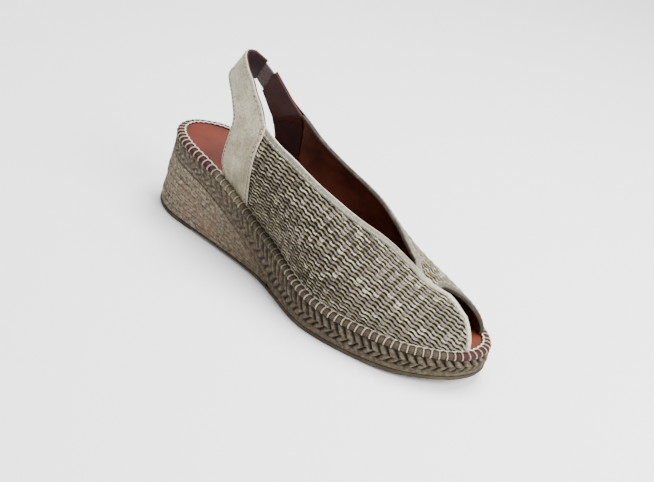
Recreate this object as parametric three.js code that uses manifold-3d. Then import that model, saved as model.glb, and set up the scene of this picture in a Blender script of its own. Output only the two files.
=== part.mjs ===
// Slingback espadrille, right shoe, empty and standing on its sole.
// Millimetres, +Z up, +X from heel to toe, -Y the outer side of the foot, +Y the inner side.
// The origin is on the floor under the middle of the heel.
import * as THREE from 'three';
import Module from 'manifold-3d';

const wasm = await Module();
wasm.setup();

// Plan of the sole at its stitched rim
const footbedLength = 253;
const heelSeatFromBack = 25;
const heelHalfWidth = 25;
const outerWaistHalfWidth = 29.9;
const innerWaistHalfWidth = 27.6;
const outerBallHalfWidth = 46.6;
const innerBallHalfWidth = 41.4;
const outerToeHalfWidth = 39.5;
const innerToeHalfWidth = 36;
const toeSwing = 1.8;
const heelRound = 33;
const toeRound = 54.5;
const toeSquareness = 2.4;

// Heights above the floor, and the layers of the sole
const heelHeight = 54.4;
const platformHeight = 19.8;
const toeHeight = 23.7;
const toeSpring = 7.2;
const outsoleThickness = 2.6;
const heelPadLength = 46;
const heelPadStep = 1.2;
const wedgeBackFlare = 6.3;
const wedgeSideFlare = 1.6;
const wedgePlies = 8;
const plyRelief = 0.7;
const wedgeTipThickness = 1.6;
const braidRelief = 0.8;
const rimBandWidth = 4.5;
const rimBandDrop = 2.3;
const rimBandProud = 0.7;
const insoleThickness = 2;

// Upper, straps and elastic
const upperWall = 1.8;
const bindingWidth = 5;
const bindingRelief = 0.5;
const quarterRise = 52.5;
const throatHalfWidth = 19;
const quarterBulge = 2.5;
const seamFromBack = 80;
const strapBaseWidth = 23;
const strapWall = 2.2;
const strapCrown = 0.6;
const casingLength = 21;
const casingRelief = 0.7;
const elasticThickness = 1.3;
const gap = 0.3;
const seamGap = 0.5;

// Mesh density
const stationsPerSide = 34;
const footSamples = 180;
const heightSamples = 60;
const panelColumns = 26;
const panelRows = 10;
const strapRows = 22;
const strapColumns = 4;

const { clamp, lerp } = THREE.MathUtils;
const station = (share) => share * footbedLength - heelSeatFromBack;
const shareOf = (x) => (x + heelSeatFromBack) / footbedLength;

// A smooth curve through a column of a table, which never overshoots between two rows.
function through(rows, column) {
  const last = rows.length - 1;
  const slope = (i) => (rows[i + 1][column] - rows[i][column]) / (rows[i + 1].at - rows[i].at);
  const tangent = rows.map((_, i) => {
    const before = slope(Math.max(i - 1, 0));
    const after = slope(Math.min(i, last - 1));
    return before * after <= 0 ? 0 : (2 * before * after) / (before + after);
  });
  return (at) => {
    const next = rows.findIndex((row) => row.at > at);
    const i = next < 0 ? last - 1 : Math.max(next - 1, 0);
    const span = rows[i + 1].at - rows[i].at;
    const t = clamp((at - rows[i].at) / span, 0, 1);
    const rise = t * t * (3 - 2 * t);
    const leave = t * (1 - t) ** 2 * span * tangent[i];
    const arrive = t * t * (t - 1) * span * tangent[i + 1];
    return lerp(rows[i][column], rows[i + 1][column], rise) + leave + arrive;
  };
}

// Half widths of the footbed and the swing of its centre line, along its length from the heel's back
const outerHalf = through([
  { at: 0, half: heelHalfWidth * 0.93 },
  { at: 0.12, half: heelHalfWidth },
  { at: 0.4, half: outerWaistHalfWidth },
  { at: 0.64, half: outerBallHalfWidth },
  { at: 0.84, half: outerToeHalfWidth },
  { at: 1, half: outerToeHalfWidth * 0.72 },
], 'half');
const innerHalf = through([
  { at: 0, half: heelHalfWidth * 0.9 },
  { at: 0.12, half: heelHalfWidth * 0.96 },
  { at: 0.4, half: innerWaistHalfWidth },
  { at: 0.64, half: innerBallHalfWidth },
  { at: 0.84, half: innerToeHalfWidth },
  { at: 1, half: innerToeHalfWidth * 0.72 },
], 'half');
const centreSide = through([
  { at: 0, side: 0 },
  { at: 0.45, side: 0 },
  { at: 1, side: toeSwing },
], 'side');

// Height of the rim over the platform: shares of the heel's lift and of the toe's lift
const rimLifts = [
  { at: -0.05, heel: 1, toe: 0 },
  { at: 0.06, heel: 1, toe: 0 },
  { at: 0.22, heel: 0.807, toe: 0 },
  { at: 0.42, heel: 0.297, toe: 0 },
  { at: 0.6, heel: 0.071, toe: 0 },
  { at: 0.72, heel: 0, toe: 0 },
  { at: 0.88, heel: 0, toe: 0.25 },
  { at: 1.05, heel: 0, toe: 1 },
];
const heelLift = through(rimLifts, 'heel');
const toeLift = through(rimLifts, 'toe');

// Underside of the platform where it lies on the wedge, as shares of the heel height
const undersideShare = through([
  { at: 0, up: 0.745 },
  { at: 0.06, up: 0.742 },
  { at: 0.17, up: 0.665 },
  { at: 0.25, up: 0.55 },
  { at: 0.33, up: 0.39 },
  { at: 0.41, up: 0.215 },
  { at: 0.48, up: 0.05 },
  { at: 0.56, up: -0.1 },
], 'up');

// Shares of the length where the shallow arch ends on the ball and where the toe begins to spring up
const archEnd = 0.5;
const springStart = 0.7;
const heelPadEnd = station(0) + heelPadLength;

function rimZ(x) {
  const share = shareOf(x);
  const heel = heelLift(share) * (heelHeight - platformHeight);
  const toe = toeLift(share) * (toeHeight - platformHeight);
  return platformHeight + heel + toe;
}

function springZ(x) {
  return toeSpring * clamp((shareOf(x) - springStart) / (1 - springStart), 0, 1.1) ** 2;
}

// Underside of the rubber: flat under the heel pad, a step up to the arch, flat again at the ball
function groundZ(x) {
  const fade = (archEnd - shareOf(x)) / (archEnd - shareOf(heelPadEnd));
  const arch = x > heelPadEnd ? heelPadStep * clamp(2 * fade, 0, 1) : 0;
  return springZ(x) + arch;
}

const treadTopZ = (x) => springZ(x) + outsoleThickness;
const platformBottomZ = (x) => Math.max(undersideShare(shareOf(x)) * heelHeight, treadTopZ(x) + gap);
const insoleTopZ = (x) => rimZ(x);
const bedZ = (x) => insoleTopZ(x) - insoleThickness - gap;

// Stations along the sole, close together at both round ends
function roundShares(spans) {
  return Array.from({ length: spans + 1 }, (_, i) => (1 - Math.cos((i * Math.PI) / spans)) / 2);
}

const soleShares = roundShares(stationsPerSide);

// Plan of one side of the footbed: side is -1 on the outer side and 1 on the inner side
function sidePoint(share, side) {
  const heel = clamp((share * footbedLength) / heelRound, 0, 1);
  const toe = clamp(((1 - share) * footbedLength) / toeRound, 0, 1);
  const heelCap = Math.sqrt(1 - (1 - heel) ** 2);
  const toeCap = (1 - (1 - toe) ** toeSquareness) ** (1 / toeSquareness);
  const half = side < 0 ? outerHalf(share) : innerHalf(share);
  return new THREE.Vector2(station(share), centreSide(share) + side * half * heelCap * toeCap);
}

// A loop round the sole, counter-clockwise from above: the outer side to the toe, then the inner side back
function outlineLoop(shares, inset) {
  const outer = shares.map((share) => sidePoint(share, -1));
  const inner = shares.map((share) => sidePoint(share, 1)).reverse();
  const roundToe = shares[shares.length - 1] === 1;
  const loop = [...outer, ...inner.slice(roundToe ? 1 : 0, -1)];
  return loop.map((point, i) => {
    const before = loop[(i + loop.length - 1) % loop.length];
    const after = loop[(i + 1) % loop.length];
    const along = after.clone().sub(before).normalize();
    return new THREE.Vector2(point.x - along.y * inset, point.y + along.x * inset);
  });
}

// The sole widens towards the floor: most at the heel's back, and not at all past the arch
function flared(point, z) {
  const fade = clamp(1 - shareOf(point.x) / archEnd, 0, 1);
  const drop = clamp(1 - z / rimZ(point.x), 0, 1);
  const wider = 1 + (fade * drop * wedgeSideFlare) / heelHalfWidth;
  return new THREE.Vector3(point.x - wedgeBackFlare * fade * drop, point.y * wider, z);
}

function soleLoop(shares, inset, height) {
  return outlineLoop(shares, inset).map((point) => flared(point, height(point.x)));
}

function geometryOf(points, triangles) {
  const geometry = new THREE.BufferGeometry();
  const corners = points.flatMap((point) => [point.x, point.y, point.z]);
  geometry.setAttribute('position', new THREE.Float32BufferAttribute(corners, 3));
  geometry.setIndex(triangles.flat());
  return geometry;
}

// Walls between loops of equal length, each loop given as a list of corners
function wallTriangles(loops, closed) {
  const n = loops[0].length;
  const count = loops.length;
  const triangles = [];
  for (let level = 0; level + 1 < count + (closed ? 1 : 0); level += 1) {
    const low = level * n;
    const high = ((level + 1) % count) * n;
    for (let i = 0; i < n; i += 1) {
      const next = (i + 1) % n;
      triangles.push([low + i, low + next, high + next], [low + i, high + next, high + i]);
    }
  }
  return triangles;
}

// Loops stacked from the bottom up, closed at both ends by strips from side to side
function stack(loops) {
  const n = loops[0].length;
  const across = [];
  for (let i = 0; i + 1 <= n - i - 1; i += 1) {
    const right = (n - i) % n;
    const nextRight = n - i - 1;
    if (right !== i) across.push([i, i + 1, right]);
    if (nextRight !== i + 1) across.push([i + 1, nextRight, right]);
  }
  const top = (loops.length - 1) * n;
  const floor = across.map(([a, b, c]) => [c, b, a]);
  const lid = across.map((corners) => corners.map((corner) => corner + top));
  return geometryOf(loops.flat(), [...wallTriangles(loops, false), ...floor, ...lid]);
}

// Loops that run round a band and close on the first one
const band = (loops) => geometryOf(loops.flat(), wallTriangles(loops, true));

// The rubber, with one station on each side of the heel pad's step
function outsole() {
  const edge = 0.8;
  const padShare = shareOf(heelPadEnd);
  const stepRun = 0.0015;
  const clearOfStep = soleShares.filter((share) => Math.abs(share - padShare) > 0.01);
  const shares = [...clearOfStep, padShare - stepRun, padShare + stepRun].sort((a, b) => a - b);
  return stack([
    soleLoop(shares, edge, groundZ),
    soleLoop(shares, 0, (x) => lerp(groundZ(x), treadTopZ(x), 0.4)),
    soleLoop(shares, 0, treadTopZ),
  ]);
}

// The wedge: rope plies wound one on another, thinning out to a blunt tip under the waist
function wedge() {
  const low = (x) => treadTopZ(x) + gap;
  const high = (x) => platformBottomZ(x) - gap;
  const thick = (share) => high(station(share)) - low(station(share));
  const thinShare = soleShares.find((share) => share > 0.2 && thick(share) < wedgeTipThickness);
  const shares = soleShares.filter((share) => share < thinShare);
  const loops = [];
  for (let ply = 0; ply < wedgePlies; ply += 1) {
    const at = (part) => (x) => lerp(low(x), high(x), (ply + part) / wedgePlies);
    loops.push(soleLoop(shares, plyRelief, at(0)), soleLoop(shares, 0, at(0.5)));
  }
  loops.push(soleLoop(shares, plyRelief, high));
  return stack(loops);
}

// The platform: a smooth rope below and a flat braid above it, each bulging out between its edges, and
// a rebate round the top for the stitched rim and the insole
const braidRows = [
  { up: 0, relief: 1 },
  { up: 0.2, relief: 0 },
  { up: 0.36, relief: 0 },
  { up: 0.48, relief: 1 },
  { up: 0.62, relief: 0 },
  { up: 0.86, relief: 0 },
  { up: 1, relief: 0.5 },
];

function midsole() {
  const seatZ = (x) => rimZ(x) - rimBandDrop - gap;
  const part = (share) => (x) => lerp(platformBottomZ(x), seatZ(x), share);
  const inset = rimBandWidth + gap;
  return stack([
    ...braidRows.map(({ up, relief }) => soleLoop(soleShares, relief * braidRelief, part(up))),
    soleLoop(soleShares, inset, seatZ),
    soleLoop(soleShares, inset, bedZ),
  ]);
}

// The rim: the turned edge of insole cover and upper, whipped with thread over the platform's edge.
// Its section runs down the inner face, out below and up over the rounded outside.
const rimSection = [
  { inset: 1, up: 1 },
  { inset: 1, up: 0 },
  { inset: 0.3, up: 0 },
  { inset: 0, up: 0.15 },
  { inset: 0, up: 0.6 },
  { inset: 0.25, up: 0.92 },
  { inset: 0.6, up: 1 },
];

function rimBand() {
  const loops = rimSection.map(({ inset, up }) => {
    const height = (x) => rimZ(x) + lerp(-rimBandDrop, rimBandProud, up);
    return soleLoop(soleShares, inset * rimBandWidth, height);
  });
  return band(loops);
}

function insole() {
  const inset = rimBandWidth + gap;
  const edge = 0.5;
  return stack([
    soleLoop(soleShares, inset, (x) => bedZ(x) + gap),
    soleLoop(soleShares, inset, (x) => insoleTopZ(x) - edge),
    soleLoop(soleShares, inset + edge, insoleTopZ),
  ]);
}

// The foot of the upper: the loop just inside the stitched rim, split at the toe into its two sides
const footInset = rimBandWidth + gap;
const footShares = roundShares(footSamples);
const footLoop = outlineLoop(footShares, footInset);
const tipIndex = footShares.length - 1;
const footSides = {
  outer: footLoop.slice(0, tipIndex + 1),
  inner: [footLoop[0], ...footLoop.slice(tipIndex).reverse()],
};

// A line of points with its running length, read at any share of that length
function measuredLine(points) {
  const run = [0];
  points.slice(1).forEach((point, i) => run.push(run[i] + point.distanceTo(points[i])));
  const length = run[run.length - 1];
  const at = (share) => {
    const target = clamp(share, 0, 1) * length;
    const i = clamp(run.findIndex((r) => r >= target), 1, points.length - 1);
    return points[i - 1].clone().lerp(points[i], (target - run[i - 1]) / (run[i] - run[i - 1]));
  };
  return { length, run, at };
}

const footLines = { outer: measuredLine(footSides.outer), inner: measuredLine(footSides.inner) };

// Share of the way round a side's foot line at which it passes a distance from the heel's back
function aroundAt(side, fromBack) {
  const x = station(fromBack / footbedLength);
  const index = footSides[side].findIndex((point) => point.x >= x);
  return footLines[side].run[index] / footLines[side].length;
}

// The last: one row for each section, from the waist to the toe tip, by the way round the foot line.
// The ridge lies a lead ahead of the middle of its two foot points, a share of the footbed's length.
// side is a share of the throat's half width, up of the quarter's rise over the rim, belly the height of
// the fullest point, fullness its bulge, and the two arches how full the shoulders are.
const lastRows = [
  { at: 0.25, lead: 0.01, side: 0, up: 1.23, belly: 0.46, fullness: 1, outArch: 2.1, inArch: 2.1 },
  { at: 0.32, lead: 0.008, side: 0, up: 1.22, belly: 0.46, fullness: 1, outArch: 2.1, inArch: 2.1 },
  { at: 0.38, lead: 0.004, side: 0, up: 1.15, belly: 0.46, fullness: 1, outArch: 2.1, inArch: 2.1 },
  { at: 0.47, lead: 0, side: -0.05, up: 1.06, belly: 0.42, fullness: 0.8, outArch: 2.05, inArch: 2 },
  { at: 0.56, lead: 0, side: -0.05, up: 0.98, belly: 0.34, fullness: 0.5, outArch: 1.98, inArch: 1.82 },
  { at: 0.65, lead: -0.004, side: 0.05, up: 0.84, belly: 0.24, fullness: 0.3, outArch: 1.95, inArch: 1.5 },
  { at: 0.7, lead: -0.01, side: 0.12, up: 0.735, belly: 0.2, fullness: 0.25, outArch: 1.95, inArch: 1.45 },
  { at: 0.75, lead: -0.02, side: 0.18, up: 0.63, belly: 0.16, fullness: 0.2, outArch: 1.98, inArch: 1.5 },
  { at: 0.85, lead: -0.05, side: 0.2, up: 0.505, belly: 0.11, fullness: 0.15, outArch: 1.93, inArch: 1.6 },
  { at: 1, lead: -0.108, side: 0.2, up: 0.45, belly: 0.09, fullness: 0.1, outArch: 1.85, inArch: 1.6 },
];
const lastColumns = ['lead', 'side', 'up', 'belly', 'fullness', 'outArch', 'inArch'];
const last = Object.fromEntries(lastColumns.map((name) => [name, through(lastRows, name)]));

// A point of the last: v runs from 0 at the outer foot line over 1 at the ridge to 2 at the inner one.
// Below the belly the wall leans outwards, and above it a quarter of a rounded arch leads to the ridge.
function lastPoint(around, v) {
  const side = v <= 1 ? 'outer' : 'inner';
  const t = v <= 1 ? v : 2 - v;
  const foot = footLines[side].at(around);
  const middle = (footLines.outer.at(around).x + footLines.inner.at(around).x) / 2;
  const ridgeX = middle + footbedLength * last.lead(around);
  const ridge = new THREE.Vector2(ridgeX, throatHalfWidth * last.side(around));
  const inward = ridge.clone().sub(foot).normalize();
  const ridgeHeight = rimZ(ridge.x) + quarterRise * last.up(around);
  const footZ = rimZ(foot.x) + gap;
  const bellyZ = lerp(footZ, ridgeHeight, last.belly(around));
  const bulge = quarterBulge * last.fullness(around);
  const bellyShare = 0.35;
  if (t < bellyShare) {
    const s = t / bellyShare;
    const out = bulge * Math.sin((s * Math.PI) / 2);
    return new THREE.Vector3(foot.x - inward.x * out, foot.y - inward.y * out, lerp(footZ, bellyZ, s));
  }
  const turn = (((t - bellyShare) / (1 - bellyShare)) * Math.PI) / 2;
  const power = 2 / last[side === 'outer' ? 'outArch' : 'inArch'](around);
  const across = 1 - Math.cos(turn) ** power;
  const up = Math.sin(turn) ** power;
  const belly = new THREE.Vector2(foot.x - inward.x * bulge, foot.y - inward.y * bulge);
  const plan = belly.lerp(ridge, across);
  return new THREE.Vector3(plan.x, plan.y, lerp(bellyZ, ridgeHeight, up));
}

// Outward normal of the last, from two short steps on it
function lastNormal(around, v) {
  const step = 0.004;
  const alongStep = lastPoint(Math.min(around + step, 1 - step / 4), v).sub(lastPoint(around - step, v));
  const acrossStep = lastPoint(around, Math.min(v + step, 2)).sub(lastPoint(around, Math.max(v - step, 0)));
  return alongStep.cross(acrossStep).normalize();
}

// A patch with thickness: outer and inner are grids of points, a row for each column of the patch
function thickPatch(outer, inner) {
  const rows = outer.length;
  const columns = outer[0].length;
  const count = rows * columns;
  const points = [...outer.flat(), ...inner.flat()];
  const triangles = [];
  const quad = (a, b, c, d) => triangles.push([a, b, c], [a, c, d]);
  for (let i = 0; i + 1 < rows; i += 1) {
    for (let j = 0; j + 1 < columns; j += 1) {
      const a = i * columns + j;
      quad(a, a + columns, a + columns + 1, a + 1);
      quad(count + a, count + a + 1, count + a + columns + 1, count + a + columns);
    }
  }
  for (let i = 0; i + 1 < rows; i += 1) {
    const a = i * columns;
    const b = a + columns - 1;
    quad(a, count + a, count + a + columns, a + columns);
    quad(b, b + columns, count + b + columns, count + b);
  }
  for (let j = 0; j + 1 < columns; j += 1) {
    const b = (rows - 1) * columns + j;
    quad(j, j + 1, count + j + 1, count + j);
    quad(b, count + b, count + b + 1, b + 1);
  }
  return geometryOf(points, triangles);
}

// How far up the last the outer panel reaches, and where the inner panel begins on its other side.
// Behind the crossing both stop at the throat's edge, and ahead of it the outer one lies over the other.
const outerEdge = through([
  { at: 0.25, v: 0.66 },
  { at: 0.33, v: 0.67 },
  { at: 0.41, v: 0.73 },
  { at: 0.5, v: 0.79 },
  { at: 0.61, v: 0.86 },
  { at: 0.71, v: 0.935 },
  { at: 0.76, v: 0.945 },
  { at: 0.87, v: 0.93 },
  { at: 0.915, v: 0.93 },
  { at: 0.945, v: 0.88 },
  { at: 0.97, v: 0.72 },
], 'v');
const innerEdge = through([
  { at: 0.25, v: 1.34 },
  { at: 0.38, v: 1.33 },
  { at: 0.46, v: 1.29 },
  { at: 0.53, v: 1.26 },
  { at: 0.6, v: 1.245 },
  { at: 0.65, v: 1.2 },
  { at: 0.7, v: 1.115 },
  { at: 0.765, v: 0.98 },
  { at: 0.81, v: 0.84 },
  { at: 0.86, v: 0.84 },
  { at: 0.9, v: 1.08 },
  { at: 0.92, v: 1.15 },
  { at: 0.94, v: 1.25 },
], 'v');

// Shares of the way round where the peep toe cuts off the outer and the inner panel
const outerPeep = 0.97;
const innerPeep = 0.94;
const overlapStart = 0.6;
const overlapBite = 0.3;

// The binding rises to its full height within a small share of its width
const bindingStep = 0.98;

// Columns of a panel, the last one a binding's width behind its peep edge
function panelShares(side, start, end) {
  const bindingShare = bindingWidth / footLines[side].length;
  const bodyEnd = end - bindingShare;
  const body = Array.from({ length: panelColumns }, (_, i) => lerp(start, bodyEnd, i / (panelColumns - 1)));
  return [...body, end - bindingShare * bindingStep, end];
}

// Positions up a panel: even steps to the binding, then the binding's own step and the edge
function panelHeights(around, from, to) {
  const height = (k) => lerp(from, to, k / heightSamples);
  const samples = Array.from({ length: heightSamples + 1 }, (_, k) => lastPoint(around, height(k)));
  const line = measuredLine(samples);
  const bindingShare = bindingWidth / line.length;
  const shares = Array.from({ length: panelRows }, (_, j) => (j * (1 - bindingShare)) / (panelRows - 1));
  const distances = [...shares, 1 - bindingShare * bindingStep, 1];
  return distances.map((share) => {
    const k = clamp(line.run.findIndex((r) => r >= share * line.length), 1, heightSamples);
    const part = (share * line.length - line.run[k - 1]) / (line.run[k] - line.run[k - 1]);
    return height(k - 1 + part);
  });
}

// One panel of the upper: from is its foot on the last, edge its top edge
function panel(side, start, end, foot, edge, sink) {
  const outer = [];
  const inner = [];
  panelShares(side, start, end).forEach((around, i) => {
    const atPeep = i >= panelColumns;
    const heights = panelHeights(around, foot, edge(around));
    const outside = heights.map((v, j) => {
      const binding = j > 0 && (atPeep || j >= panelRows) ? bindingRelief : 0;
      return lastPoint(around, v).addScaledVector(lastNormal(around, v), binding - sink(around, v));
    });
    const inside = heights.map((v) => {
      const point = lastPoint(around, v).addScaledVector(lastNormal(around, v), -upperWall - sink(around, v));
      point.z = Math.max(point.z, insoleTopZ(point.x) + gap);
      return point;
    });
    outer.push(side === 'outer' ? outside : outside.reverse());
    inner.push(side === 'outer' ? inside : inside.reverse());
  });
  return thickPatch(outer, inner);
}

function manifoldOf(geometry) {
  const mesh = new wasm.Mesh({
    numProp: 3,
    vertProperties: new Float32Array(geometry.attributes.position.array),
    triVerts: new Uint32Array(geometry.index.array),
  });
  return new wasm.Manifold(mesh);
}

function geometryFrom(solid) {
  const mesh = solid.getMesh();
  const geometry = new THREE.BufferGeometry();
  geometry.setAttribute('position', new THREE.BufferAttribute(new Float32Array(mesh.vertProperties), 3));
  geometry.setIndex(Array.from(mesh.triVerts));
  return geometry;
}

// The upper: two panels over one last, joined where the outer one lies over the inner one
const seamAround = { outer: aroundAt('outer', seamFromBack), inner: aroundAt('inner', seamFromBack) };

function upper() {
  const under = (around, v) => {
    const ahead = THREE.MathUtils.smoothstep(around, overlapStart, overlapStart + 0.08);
    const below = 1 - THREE.MathUtils.smoothstep(v, 0.97, 1.25);
    return ahead * below * (upperWall - overlapBite);
  };
  const outerPanel = panel('outer', seamAround.outer, outerPeep, 0, outerEdge, () => 0);
  const innerPanel = panel('inner', seamAround.inner, innerPeep, 2, innerEdge, under);
  return geometryFrom(manifoldOf(outerPanel).add(manifoldOf(innerPanel)));
}

// The straps. A row for each line across a strap, from the foot line to its end: the fore edge and the
// aft edge, each by its share of the footbed's length, its side as a share of the throat's half width,
// and its height over the rim as a share of the quarter's rise. The seam rows leave the fore edge to
// the upper's own rear edge.
const slingRows = [
  { at: 0.12, aftAt: 0.224, aftSide: -1.32, aftUp: 0.26 },
  { at: 0.25, aftAt: 0.226, aftSide: -1.21, aftUp: 0.56 },
  { at: 0.36, aftAt: 0.22, aftSide: -1.05, aftUp: 0.73 },
  { at: 0.45, foreAt: 0.296, foreSide: -0.95, foreUp: 1.14, aftAt: 0.205, aftSide: -0.95, aftUp: 0.83 },
  { at: 0.52, foreAt: 0.269, foreSide: -0.9, foreUp: 1.215, aftAt: 0.189, aftSide: -0.84, aftUp: 0.905 },
  { at: 0.58, foreAt: 0.249, foreSide: -0.82, foreUp: 1.28, aftAt: 0.174, aftSide: -0.74, aftUp: 0.95 },
  { at: 0.65, foreAt: 0.226, foreSide: -0.71, foreUp: 1.315, aftAt: 0.158, aftSide: -0.6, aftUp: 0.975 },
  { at: 0.74, foreAt: 0.197, foreSide: -0.47, foreUp: 1.335, aftAt: 0.14, aftSide: -0.4, aftUp: 0.99 },
  { at: 0.81, foreAt: 0.172, foreSide: -0.2, foreUp: 1.352, aftAt: 0.13, aftSide: -0.18, aftUp: 0.998 },
  { at: 0.86, foreAt: 0.161, foreSide: 0.08, foreUp: 1.36, aftAt: 0.128, aftSide: 0.05, aftUp: 0.995 },
  { at: 0.91, foreAt: 0.166, foreSide: 0.34, foreUp: 1.348, aftAt: 0.138, aftSide: 0.29, aftUp: 0.99 },
  { at: 0.95, foreAt: 0.179, foreSide: 0.48, foreUp: 1.32, aftAt: 0.154, aftSide: 0.44, aftUp: 0.99 },
  { at: 1, foreAt: 0.197, foreSide: 0.6, foreUp: 1.29, aftAt: 0.174, aftSide: 0.54, aftUp: 0.994 },
];
const innerStrapRows = [
  { at: 0.2, aftAt: 0.231, aftSide: 1.24, aftUp: 0.29 },
  { at: 0.4, aftAt: 0.225, aftSide: 1.13, aftUp: 0.49 },
  { at: 0.6, aftAt: 0.221, aftSide: 1.04, aftUp: 0.615 },
  { at: 0.7, foreAt: 0.285, foreSide: 0.97, foreUp: 1.02, aftAt: 0.212, aftSide: 0.94, aftUp: 0.69 },
  { at: 0.85, foreAt: 0.254, foreSide: 0.87, foreUp: 1.11, aftAt: 0.2, aftSide: 0.82, aftUp: 0.8 },
  { at: 1, foreAt: 0.224, foreSide: 0.74, foreUp: 1.225, aftAt: 0.19, aftSide: 0.71, aftUp: 0.885 },
];

// A row's three values for a point that is already placed
const placed = (name, point) => ({
  [`${name}At`]: shareOf(point.x),
  [`${name}Side`]: point.y / throatHalfWidth,
  [`${name}Up`]: (point.z - rimZ(point.x)) / quarterRise,
});

function edgeLine(rows, name) {
  const [at, side, up] = ['At', 'Side', 'Up'].map((column) => through(rows, name + column));
  return (s) => {
    const x = station(at(s));
    return new THREE.Vector3(x, throatHalfWidth * side(s), rimZ(x) + quarterRise * up(s));
  };
}

// The front and rear edge of a strap as functions of the way along it
function strapEdges(side, rows, topV) {
  const seam = seamAround[side];
  const footV = side === 'outer' ? 0 : 2;
  const onSeam = (share) => lastPoint(seam, lerp(footV, topV, share)).add(new THREE.Vector3(-seamGap, 0, 0));
  const seamRows = rows.filter((row) => row.foreAt === undefined);
  const seamEnd = seamRows[seamRows.length - 1].at;
  const free = rows.filter((row) => row.foreAt !== undefined);
  const front = edgeLine([{ at: seamEnd, ...placed('fore', onSeam(1)) }, ...free], 'fore');
  const rearFoot = footLines[side].at(aroundAt(side, seamFromBack - strapBaseWidth));
  const foot = new THREE.Vector3(rearFoot.x, rearFoot.y, rimZ(rearFoot.x) + gap);
  const rear = edgeLine([{ at: 0, ...placed('aft', foot) }, ...rows], 'aft');
  return { front: (s) => (s <= seamEnd ? onSeam(s / seamEnd) : front(s)), rear };
}

// Grid of a ribbon's face between two edges, its columns ordered so that it faces out. It is crowned a
// little, from nothing at the foot line, where it follows the upper's foot beside the rim.
function ribbonFace({ front, rear }, side) {
  return Array.from({ length: strapRows + 1 }, (_, i) => {
    const s = i / strapRows;
    const line = Array.from({ length: strapColumns + 1 }, (__, j) => {
      const v = j / strapColumns;
      const point = front(s).lerp(rear(s), v);
      point.y += side * strapCrown * 4 * v * (1 - v) * Math.min(1, 3 * s);
      return point;
    });
    return side < 0 ? line : line.reverse();
  });
}

// A face moved along its own normals by a depth, which may change from point to point
function offsetFace(face, depth) {
  const at = (i, j) => face[clamp(i, 0, face.length - 1)][clamp(j, 0, face[0].length - 1)];
  return face.map((line, i) => line.map((point, j) => {
    const along = at(i + 1, j).clone().sub(at(i - 1, j));
    const across = at(i, j + 1).clone().sub(at(i, j - 1));
    return point.clone().addScaledVector(along.cross(across).normalize(), -depth(i, j));
  }));
}

function standing(face) {
  face[0].forEach((point) => { point.z = rimZ(point.x) + gap; });
  return face;
}

const slingEdges = strapEdges('outer', slingRows, outerEdge(seamAround.outer));
const innerStrapEdges = strapEdges('inner', innerStrapRows, innerEdge(seamAround.inner));

function heelSling() {
  const face = standing(ribbonFace(slingEdges, -1));
  return thickPatch(face, standing(offsetFace(face, () => strapWall)));
}

// The inner strap is doubled over the elastic's end, a casing that stands proud on the lining's side
function innerStrap() {
  const face = standing(ribbonFace(innerStrapEdges, 1));
  const end = measuredLine(face.map((line) => line[strapColumns]));
  const inCasing = (i) => end.run[i] > end.length - casingLength;
  return thickPatch(face, standing(offsetFace(face, (i) => strapWall + (inCasing(i) ? casingRelief : 0))));
}

// The elastic bridges the two strap ends, narrower than both and in the middle of their wall
function elastic() {
  const corners = [slingEdges, innerStrapEdges].map((edges) => [edges.front(1), edges.rear(1)]);
  const [upperTrim, lowerTrim] = [0.14, 0.06];
  const spans = 5;
  const long = corners[0][0].distanceTo(corners[1][0]);
  const face = Array.from({ length: spans + 1 }, (_, i) => {
    const along = lerp(gap / long, 1 - gap / long, i / spans);
    const top = corners[0][0].clone().lerp(corners[1][0], along);
    const bottom = corners[0][1].clone().lerp(corners[1][1], along);
    const down = (j) => lerp(upperTrim, 1 - lowerTrim, j / 3);
    return Array.from({ length: 4 }, (__, j) => top.clone().lerp(bottom, down(j)));
  });
  const skin = (strapWall - elasticThickness) / 2;
  return thickPatch(offsetFace(face, () => skin), offsetFace(face, () => skin + elasticThickness));
}

const finishes = {
  outsole: { color: '#5a5145', roughness: 0.85 },
  wedge: { color: '#8c8072', roughness: 0.95 },
  midsole: { color: '#8f8474', roughness: 0.95 },
  rim_band: { color: '#6b4a3c', roughness: 0.8 },
  insole: { color: '#a8614f', roughness: 0.6 },
  upper: { color: '#a49a7e', roughness: 0.85 },
  heel_sling: { color: '#b5ae9b', roughness: 0.5 },
  inner_strap: { color: '#b5ae9b', roughness: 0.5 },
  elastic: { color: '#4b4241', roughness: 0.8 },
};
const pieces = {
  outsole: outsole(),
  wedge: wedge(),
  midsole: midsole(),
  rim_band: rimBand(),
  insole: insole(),
  upper: upper(),
  heel_sling: heelSling(),
  inner_strap: innerStrap(),
  elastic: elastic(),
};

const shoe = new THREE.Group();
Object.entries(pieces).forEach(([name, geometry]) => {
  const mesh = new THREE.Mesh(geometry, new THREE.MeshStandardMaterial({ metalness: 0, ...finishes[name] }));
  mesh.name = name;
  shoe.add(mesh);
});

export default shoe;
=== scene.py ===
"""Looks of a slingback espadrille, right shoe, dressed over its packed solids.

Shapes are worked out in millimetres, in the packed frame: +X from heel to toe, -Y the outer side of the
foot, +Z up, with the origin on the floor under the middle of the heel. Meshes are stored in metres.
"""

import logging
import math
from dataclasses import dataclass, field
from enum import Enum
from functools import cached_property
from typing import Callable

import bpy
import numpy as np
from mathutils import Matrix, Vector


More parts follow.
